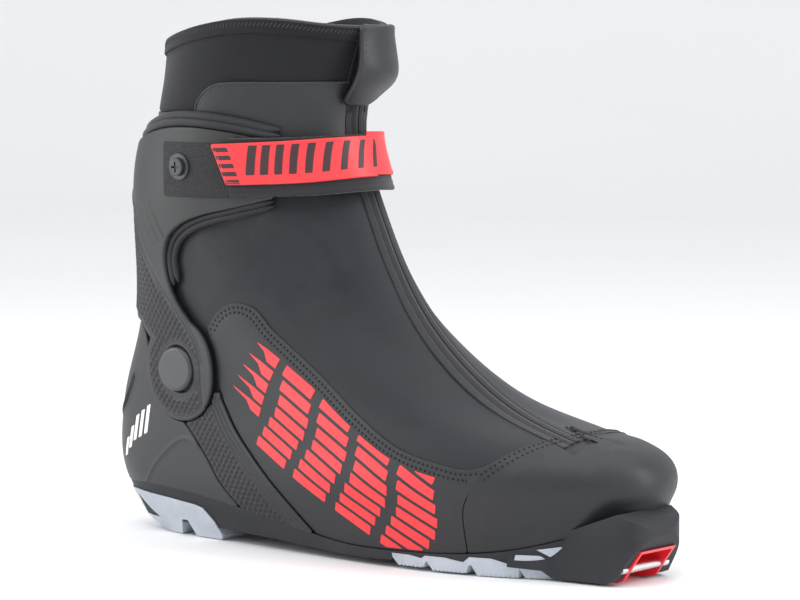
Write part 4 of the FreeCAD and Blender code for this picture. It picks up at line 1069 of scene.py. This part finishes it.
def make_heel():
    slot = drawn([(-137, 55), (-129, 63), (-122, 74)], [(-119, 72.5), (-126, 61), (-134, 53)])
    body = drawn((-160, 5), (-160, 94), COUNTER_TOP, COUNTER_FRONT, (-46, 5))
    region = all_of(body, above(LIP, 0.2), outside_of(disc(PIVOT_X, PIVOT_Z, ARM_RADIUS + 0.5)))
    arch = near([(-113, 24), (-105, 33), (-94, 42), (-87, 46), (-81, 47), (-74, 44)])
    to_slot = lambda p: np.abs(slot(p))

    def high(p):
        """A raised arch, and a slot with a raised border."""
        raised = COUNTER_OUTSIDE + 0.45 * bump(arch(p), 0.8)
        return raised + 0.5 * bump(to_slot(p), 0.9) - 1.4 * (slot(p) > 0.3)

    counter = panel("counter", region, UNDER_FILM, high, (3.2, 8.8), (0.2, 7.2), 0.8, 0.8)
    dress(counter, "root", "counter_plastic", nodes=["heel_counter", "heel_counter_insert"])
    for name, _, span in SIDES:
        back = [(x + 0.7, z + 0.3) for x, z in COUNTER_FRONT]
        front = [(x + 0.9, z) for x, z in reversed(FRAME_FRONT)]
        shape = drawn(back, (-46, 3), (0, 3), front, (-58, 70), (-104, 70))
        region = all_of(shape, above(LIP, 0.2), outside_of(disc(PIVOT_X, PIVOT_Z, ARM_RADIUS + 0.5)))
        to_front = near(FRAME_FRONT)
        to_back = near(COUNTER_FRONT)

        def ribs(p, to_front=to_front, to_back=to_back):
            inside = ramp(to_front(p), 7.0, 8.4) * ramp(to_back(p), 1.0, 2.2)
            edge = to_front(p)
            rails = bump(edge - 2.0, 0.7) + bump(edge - 4.6, 0.7) + bump(edge - 7.0, 0.6)
            height = COUNTER_OUTSIDE + 0.6 * rails * ramp(p.z, 8, 20)
            return height + inside * 0.75 * lattice(p, LATTICE_PITCH)

        band = panel(f"frame_{name}", region, UNDER_FILM, ribs, span, (0.2, 6.5), 0.5, 0.5)
        dress(band, "root", "textured_plastic", nodes=[f"frame_band_{name}"])
    make_badge()


def make_badge():
    """Plain slanted bars on the heel counter."""
    bars = []
    for k in range(5):
        x = -130.0 + 4.4 * k
        low = 36.0 + 3.0 * k - abs(k - 2) * 1.0
        high = 47.0 + 4.2 * k - abs(k - 2) * 1.5
        bars.append(drawn((x, low), (x + 2.6, low + 1.2), (x + 5.4, high), (x + 2.8, high - 1.2)))
    mark = panel("counter_mark", any_of(*bars), 1.8, 2.08, (4.0, 6.0), (0.5, 6.0), 0.5, 0.1)
    dress(mark, "root", "counter_plastic", "white_print")


CUFF_INSIDE = 2.5
TEXTURE_FRONT = [
    (-118, 160), (-112, 152), (-105.5, 134), (-97, 121), (-88, 112), (-77, 101), (-70, 92), (-67, 84),
]
TRIM_INNER = [
    (-33.6, 153.4), (-51, 149), (-66, 145.5), (-76.5, 141.4), (-83.4, 136), (-86.2, 129), (-83.4, 119),
]


def cuff_outside(p):
    """The cuff is thickest behind the calf and thins to its front edges and to the pivot."""
    behind = np.clip((-48 - p.x) / 60, 0, 1)
    return 4.4 + 3.8 * behind * bump(p.z - 158, 34)


def cuff_region():
    body = drawn(
        CUFF_TOP, (-31, 171), CUFF_EDGE, arm_point(40), (PIVOT_X + 4, PIVOT_Z), arm_point(148),
        [(-113, 98.2), (-124, 100.6), (-160, 102)],
    )
    arm = disc(PIVOT_X, PIVOT_Z, ARM_RADIUS)
    return all_of(any_of(body, arm), outside_of(disc(PIVOT_X, PIVOT_Z, 10.7)))


def texture_zone(p):
    """Behind the raised line, down round the back of the pivot."""
    line = smooth_run(TEXTURE_FRONT)
    corners = np.concatenate([line, [(-67, 50), (-170, 50), (-170, 165), (-124, 165)]])
    return within(corners, p.x, p.z)


def make_cuff():
    lines = [near(run, False) for run in (
        [(-107, 153), (-98, 136)], [(-103.5, 155.5), (-93.5, 137)], [(-100, 157.5), (-89.5, 139)])]
    border = near(TEXTURE_FRONT)

    def high(p):
        height = cuff_outside(p) - 0.75 * ramp(texture_zone(p), 0.0, 1.2)
        height = height + 0.55 * bump(border(p), 0.8)
        for line in lines:
            height = height - 0.5 * bump(line(p), 0.45)
        return height

    shell = panel("cuff", cuff_region(), CUFF_INSIDE, high, (1.1, 10.9), (2.5, 11.6), 0.8, 0.9)
    dress(shell, "cuff", "cuff_plastic", nodes=["cuff_shell"])
    rim = cuff_region()
    zone = all_of(lambda p: texture_zone(p) - 1.6, lambda p: rim(p) - 1.8)

    def knurl(p):
        fade = ramp(zone(p), 0.2, 3.0)
        return cuff_outside(p) - 0.6 + 0.75 * lattice(p, LATTICE_PITCH) * fade

    under = lambda p: cuff_outside(p) - 1.1
    grip = panel("cuff_grip", zone, under, knurl, (2.8, 9.2), (2.5, 10.5), 0.5, 0.25)
    dress(grip, "cuff", "textured_plastic")
    top = curve(CUFF_TOP)
    rows = []
    for rise in (2.2, 5.0):
        rows.append(level_run(lambda p, rise=rise: p.z - top(p) - rise, 1.75, 10.25, 1.6))
    low_roll = roll("cuff_pad_low", rows[:1], 3.4, 4.0, 4.6)
    dress(low_roll, "cuff", "padding", nodes=["cuff_padding"])
    high_roll = roll("cuff_pad_high", rows[1:], 2.4, 4.2, 4.4)
    dress(high_roll, "cuff", "padding")
    outer = CUFF_EDGE[:7]
    for k, (part, rise) in enumerate(((0.22, 2.6), (0.72, 1.9))):
        run = [(a[0] + (b[0] - a[0]) * part, a[1] + (b[1] - a[1]) * part) for a, b in zip(outer, TRIM_INNER)]
        pipes = [run_on_skin(run, side, 1.5) for _, side, _ in SIDES]
        pipe = roll(f"cuff_piping_{k}", pipes, rise, 2.9, 2.9)
        dress(pipe, "cuff", "padding", nodes=["cuff_trim"] if k == 0 else ())


COLLAR_LEVELS = (10.5, 12)


def collar_region():
    slot = all_of(strip(-5, 5), lambda p: p.x + 45)
    return all_of(below(RIM, 0.8), lambda p: p.z - COLLAR_SEAM - 0.1, outside_of(slot))


def make_collar():
    soft = lambda p: 0.35 * np.sin(p.u * 3.1 + p.z / 14) * ramp(p.z, 200, 212) * ramp(236 - p.z, 4, 12)
    collar = panel("neck", collar_region(), -3.2, soft, ALL_ROUND, COLLAR_LEVELS, 1.5, 1.3)
    dress(collar, "cuff", "neoprene", nodes=["collar"])
    rim_high = below(RIM, 0.8)
    slot_edge = lambda p: np.where(p.x > -45, np.abs(p.across) - 5, 99)
    bound = lambda p: np.maximum(6.2 - rim_high(p), 5.2 - slot_edge(p))
    band = all_of(collar_region(), bound, lambda p: p.z - 190)
    binding = panel("neck_binding", band, 0.0, 0.95, ALL_ROUND, COLLAR_LEVELS, 1.0, 0.6)
    dress(binding, "cuff", "binding", nodes=["collar_binding"])
    keep = lambda p: np.minimum(rim_high(p), slot_edge(p)) < 3.0
    runs = edge_places(collar_region(), 2.2, 1.9, ALL_ROUND, COLLAR_LEVELS, keep=keep)
    over = stitch_row("binding_stitches", runs, 1.0, 3.0, 0.24, slant=0.9)
    dress(over, "cuff", "binding", "grey_thread")
    keep = lambda p: np.minimum(rim_high(p), slot_edge(p)) < 6.4
    runs = edge_places(collar_region(), 5.6, 2.2, ALL_ROUND, COLLAR_LEVELS, keep=keep)
    tie = stitch_row("binding_edge_stitches", runs, 0.8, 1.8, 0.24)
    dress(tie, "cuff", "binding", "grey_thread")
    top_edge = [
        (-73, 192), (-70, 201), (-64.5, 206.5), (-57.5, 209.4), (-50, 210), (-28, 210.2), (-8, 210.4),
    ]
    for name, _, span in SIDES:
        shape = drawn((-76, 172), top_edge, (30, 210.5), (30, 163), (-34, 163))
        region = all_of(shape, outside_of(strip(-8.8, 8.8)))
        piece = panel(f"neck_panel_{name}", region, 0.0, 1.0, span, (8.5, 12), 1.2, 0.45)
        dress(piece, "cuff", "synthetic_leather", nodes=[f"collar_panel_{name}"])
        keep = lambda p: near(top_edge)(p) < 3.0
        runs = edge_places(region, 2.0, 2.8, span, (8.5, 12), keep=keep)
        seam = stitch_row(f"neck_seam_{name}", runs, 1.0, 1.9, 0.24)
        dress(seam, "cuff", "synthetic_leather", "grey_thread")
        runs = edge_places(region, 0.3, 1.4, span, (8.5, 12), keep=lambda p: near(top_edge)(p) < 1.2)
        pipe = roll(f"neck_piping_{name}", runs, 1.0, 1.0, 0.9, sides=8)
        dress(pipe, "cuff", "synthetic_leather", "grey_thread")


STRAP_INSIDE, WEBBING = 6.4, 1.2
RED_INSIDE = STRAP_INSIDE + WEBBING + 0.15
RED_OUTSIDE = RED_INSIDE + WEBBING
PEEL_X, PEEL_Z = -22.0, 175.0


def strap_band():
    lateral = drawn((-52, 159), (60, 159.5), (60, 186), (-52, 185.5))
    medial = drawn((-62, 159), (60, 159.5), (60, 186), (-62, 185.5))
    return lambda p: np.where(p.u > 0, lateral(p), medial(p))


def red_band():
    lateral = drawn((-59.5, 183), (60, 187), (60, 165.5), (-53, 164.5))
    medial = drawn((-40, 187), (60, 187), (60, 165.5), (-40, 165.5))
    return lambda p: np.where(p.u > 0, lateral(p), medial(p))


def peel_line():
    """The strap's peel line, and the way along the strap to its tail."""
    place = find_place(np.array([PEEL_X]), np.array([PEEL_Z]), -1)
    normal = place.normal[0]
    centre = place.point[0] + normal * (RED_INSIDE + RED_OUTSIDE) / 2
    along = unit(np.cross([0, 0, 1], normal))
    return centre, along if along[0] < 0 else -along


def strap_measure():
    """Millimetres along the strap from its tail, for a place on the lateral side."""
    us = np.linspace(3.6, -0.6, 300)
    points = solve_level(lambda p: p.z - PEEL_Z, us).point
    run = np.concatenate([[0], np.cumsum(np.linalg.norm(np.diff(points, axis=0), axis=1))])
    tail = float(find_place(np.array([-57.0]), np.array([PEEL_Z]), -1).u[0])
    start = np.interp(-tail, -us, run)
    return lambda p: np.interp(-p.u, -us, run) - start


peel_centre, peel_along = peel_line()


def make_strap():
    patch_region = drawn((-87, 158.5), (-46, 158.5), (-46, 183), (-87, 183))
    under, over = lambda p: cuff_outside(p) - 0.2, lambda p: cuff_outside(p) + 0.9
    patch = panel("hook_field", patch_region, under, over, (1.4, 6), (8.5, 11.5), 0.9, 0.3)
    dress(patch, "cuff", "hook_tape", nodes=["hook_patch"])
    rib = lambda p: STRAP_INSIDE + WEBBING + 0.12 * np.cos(2 * math.pi * p.z / 2.2)
    base = panel("strap_webbing", strap_band(), STRAP_INSIDE, rib, (-3.6, 3.4), (8.5, 11.5), 0.7, 0.4)
    dress(base, "cuff", "webbing", nodes=["strap_base"])
    edge = lambda p: RED_OUTSIDE + 0.15 * bump(red_band()(p) - 1.2, 0.5)
    red = panel("strap_band", red_band(), RED_INSIDE, edge, (-2.8, 3.6), (8.5, 11.6), 0.7, 0.45)
    dress(red, "strap", "red_strap", nodes=["strap_front", "strap_tail"])
    along_strap = strap_measure()
    bars = []
    for k in range(5):
        z = 181.4 - 3.6 * k
        x = -60.2 + 1.25 * k
        bars.append(drawn((x, z - 0.1), (x + 8.0, z), (x + 8.8, z - 1.9), (x + 1.0, z - 2.0)))

    def slanted(start, width, low=169.0, high=182.4, lean=4.0):
        end = start + width
        corners = outline((start, low), (end, low), (end + lean, high), (start + lean, high))
        return lambda p: within(corners, along_strap(p), p.z)

    shapes = [slanted(12.0 + 6.3 * k, 3.9 - 0.25 * k) for k in range(9)]
    inside = red_band()
    marks = all_of(any_of(*bars, *shapes), lambda p: inside(p) - 0.5)
    ink_low, ink_high = RED_OUTSIDE - 0.1, RED_OUTSIDE + 0.12
    ink = panel("strap_bars", marks, ink_low, ink_high, (-0.2, 3.6), (8.5, 11.6), 0.4, 0.06)
    dress(ink, "strap", "red_strap", "dark_print")


FLAP_TOP, FLAP_BOTTOM = 236.6, 200.5
FLAP_THICKNESS = 2.6
FLAP_BULGE, FLAP_BULGE_Z = 8.0, 217


def make_flap():
    """Soft pull tab that hangs over the zip's slider."""
    def high(p):
        out = 2.9 + FLAP_BULGE * bump(p.z - FLAP_BULGE_Z, 13)
        dome = 1.1 * (1 - (p.across / 12.5) ** 2)
        return out + dome + 0.25 * np.sin(p.z / 3.1 + p.across / 5) * ramp(236 - p.z, 2, 10)

    bottom = lambda p: p.z - FLAP_BOTTOM - 0.065 * np.clip(p.across + 3, 0, None) ** 2
    region = all_of(strip(-12.6, 12.2), lambda p: FLAP_TOP - p.z, bottom, lambda p: p.x + 30)
    under = lambda p: high(p) - FLAP_THICKNESS
    flap = panel("pull_tab", region, under, high, (-2.2, 2.2), COLLAR_LEVELS, 0.8, 1.2)
    dress(flap, "pull_flap", "synthetic_leather", nodes=["pull_flap"])
    runs = edge_places(region, 2.2, 2.2, (-2.2, 2.2), COLLAR_LEVELS, keep=lambda p: p.z < 231)
    seam = stitch_row("pull_tab_seam", runs, lambda p: high(p) - 0.05, 1.5, 0.2)
    dress(seam, "pull_flap", "synthetic_leather", "grey_thread")


SOFT_EDGED = {
    "outsole": 0.7, "heel_tread": 0.5, "forefoot_tread_lateral": 0.5, "forefoot_tread_medial": 0.5,
    "toe_pocket_liner": 0.3,
}


def soften(name, part, width):
    """A copy of a moulded part with rounded edges."""
    piece = bpy.data.objects.new(f"{name}_moulding", frame["nodes"][name].data.copy())
    bpy.context.scene.collection.objects.link(piece)
    bevel = piece.modifiers.new("edges", "BEVEL")
    bevel.width = width * MM
    bevel.segments = 2
    bevel.limit_method = "ANGLE"
    bevel.angle_limit = math.radians(28)
    bevel.harden_normals = True
    dress(piece, "root", part["material_slot"], nodes=[name])


def make_hard_parts():
    """The CAD pieces that stay as they are get their materials."""
    parts = {part["node"]: part for part in frame["record"]["subparts"]}
    slots = {name: part["material_slot"] for name, part in parts.items()}
    for name, width in SOFT_EDGED.items():
        if name in parts:
            soften(name, parts[name], width)
    for name, node in frame["nodes"].items():
        node.data.materials.clear()
        node.data.materials.append(materials[slots[name]])


make_hard_parts()
make_upper()
make_zip()
make_overlays()
make_graphics()
make_heel()
make_cuff()
make_collar()
make_strap()
make_flap()

# ----------------------------------------------------------------------
# Floor, light and camera
# ----------------------------------------------------------------------


AZIMUTH, ELEVATION = math.radians(39.0), math.radians(4.6)
SWEEP, SWEEP_STEPS = 1.0, 16


def make_stage():
    """A pale sheet that runs flat under the boot and sweeps up far behind it."""
    profile = [(-3.0, 0.0), (3.0, 0.0)]
    for step in range(1, SWEEP_STEPS + 1):
        angle = math.pi / 2 * step / SWEEP_STEPS
        profile.append((3.0 + SWEEP * math.sin(angle), SWEEP * (1 - math.cos(angle))))
    profile.append((3.0 + SWEEP, 5.0))
    ground = cad_low[2] - 0.0004
    points, faces = [], []
    for across, height in profile:
        for side in (-4.0, 4.0):
            x = -math.sin(AZIMUTH) * across + math.cos(AZIMUTH) * side
            y = math.cos(AZIMUTH) * across + math.sin(AZIMUTH) * side
            points.append((x, y, ground + height))
    for k in range(len(profile) - 1):
        faces.append([2 * k, 2 * k + 1, 2 * k + 3, 2 * k + 2])
    mesh = bpy.data.meshes.new("floor")
    mesh.from_pydata(points, [], faces)
    mesh.update()
    mesh.polygons.foreach_set("use_smooth", [True] * len(mesh.polygons))
    floor = bpy.data.objects.new("floor", mesh)
    bpy.context.scene.collection.objects.link(floor)
    nodes = Nodes("floor")
    nodes.put("Base Color", nodes.mix(nodes.noise(0.4, 2), (0.86, 0.86, 0.86), (0.90, 0.90, 0.90)))
    nodes.put("Roughness", 0.75)
    floor.data.materials.append(nodes.material)


BOOT_MIDDLE = Vector((0, 0, 0.1))


def direction(azimuth, elevation):
    """Unit vector towards a viewer at these angles, in radians."""
    flat = math.cos(elevation)
    return Vector((math.sin(azimuth) * flat, -math.cos(azimuth) * flat, math.sin(elevation)))


def area_light(name, azimuth, elevation, distance, size, power):
    """A soft box that faces the boot. Azimuth 0 is in front of the lateral side, 90 in front of the toe."""
    a, e = math.radians(azimuth), math.radians(elevation)
    place = direction(a, e) * distance + BOOT_MIDDLE
    data = bpy.data.lights.new(name, "AREA")
    data.shape = "RECTANGLE"
    data.size, data.size_y = size
    data.energy = power
    light = bpy.data.objects.new(name, data)
    light.location = place
    light.rotation_euler = (BOOT_MIDDLE - place).to_track_quat("-Z", "Y").to_euler()
    bpy.context.scene.collection.objects.link(light)


def make_lights():
    area_light("key", 20, 58, 1.2, (0.9, 0.7), 5)
    area_light("left", -52, 20, 1.1, (0.35, 1.0), 5)
    area_light("right", 108, 24, 1.1, (0.4, 1.0), 6)
    area_light("top", 150, 75, 1.2, (1.0, 0.8), 4)
    world = bpy.data.worlds.new("studio")
    bpy.context.scene.world = world
    world.use_nodes = True
    world.node_tree.nodes["Background"].inputs["Color"].default_value = (0.96, 0.97, 1.0, 1)
    world.node_tree.nodes["Background"].inputs["Strength"].default_value = 1.0


VIEW_DISTANCE = 1.5
FOCAL_PIXELS, IMAGE_WIDTH, SENSOR = 3328.0, 800.0, 36.0
VIEW_TARGET = Vector(to_frame(np.array([6.0, 11.3, 112.0])))


def make_camera():
    back = direction(AZIMUTH, ELEVATION)
    data = bpy.data.cameras.new("camera")
    data.sensor_width = SENSOR
    data.lens = FOCAL_PIXELS / IMAGE_WIDTH * SENSOR
    camera = bpy.data.objects.new("camera", data)
    camera.location = VIEW_TARGET + back * VIEW_DISTANCE
    camera.rotation_euler = (-back).to_track_quat("-Z", "Y").to_euler()
    bpy.context.scene.collection.objects.link(camera)
    bpy.context.scene.camera = camera


make_stage()
make_lights()
make_camera()
bpy.context.scene.view_settings.view_transform = "Standard"
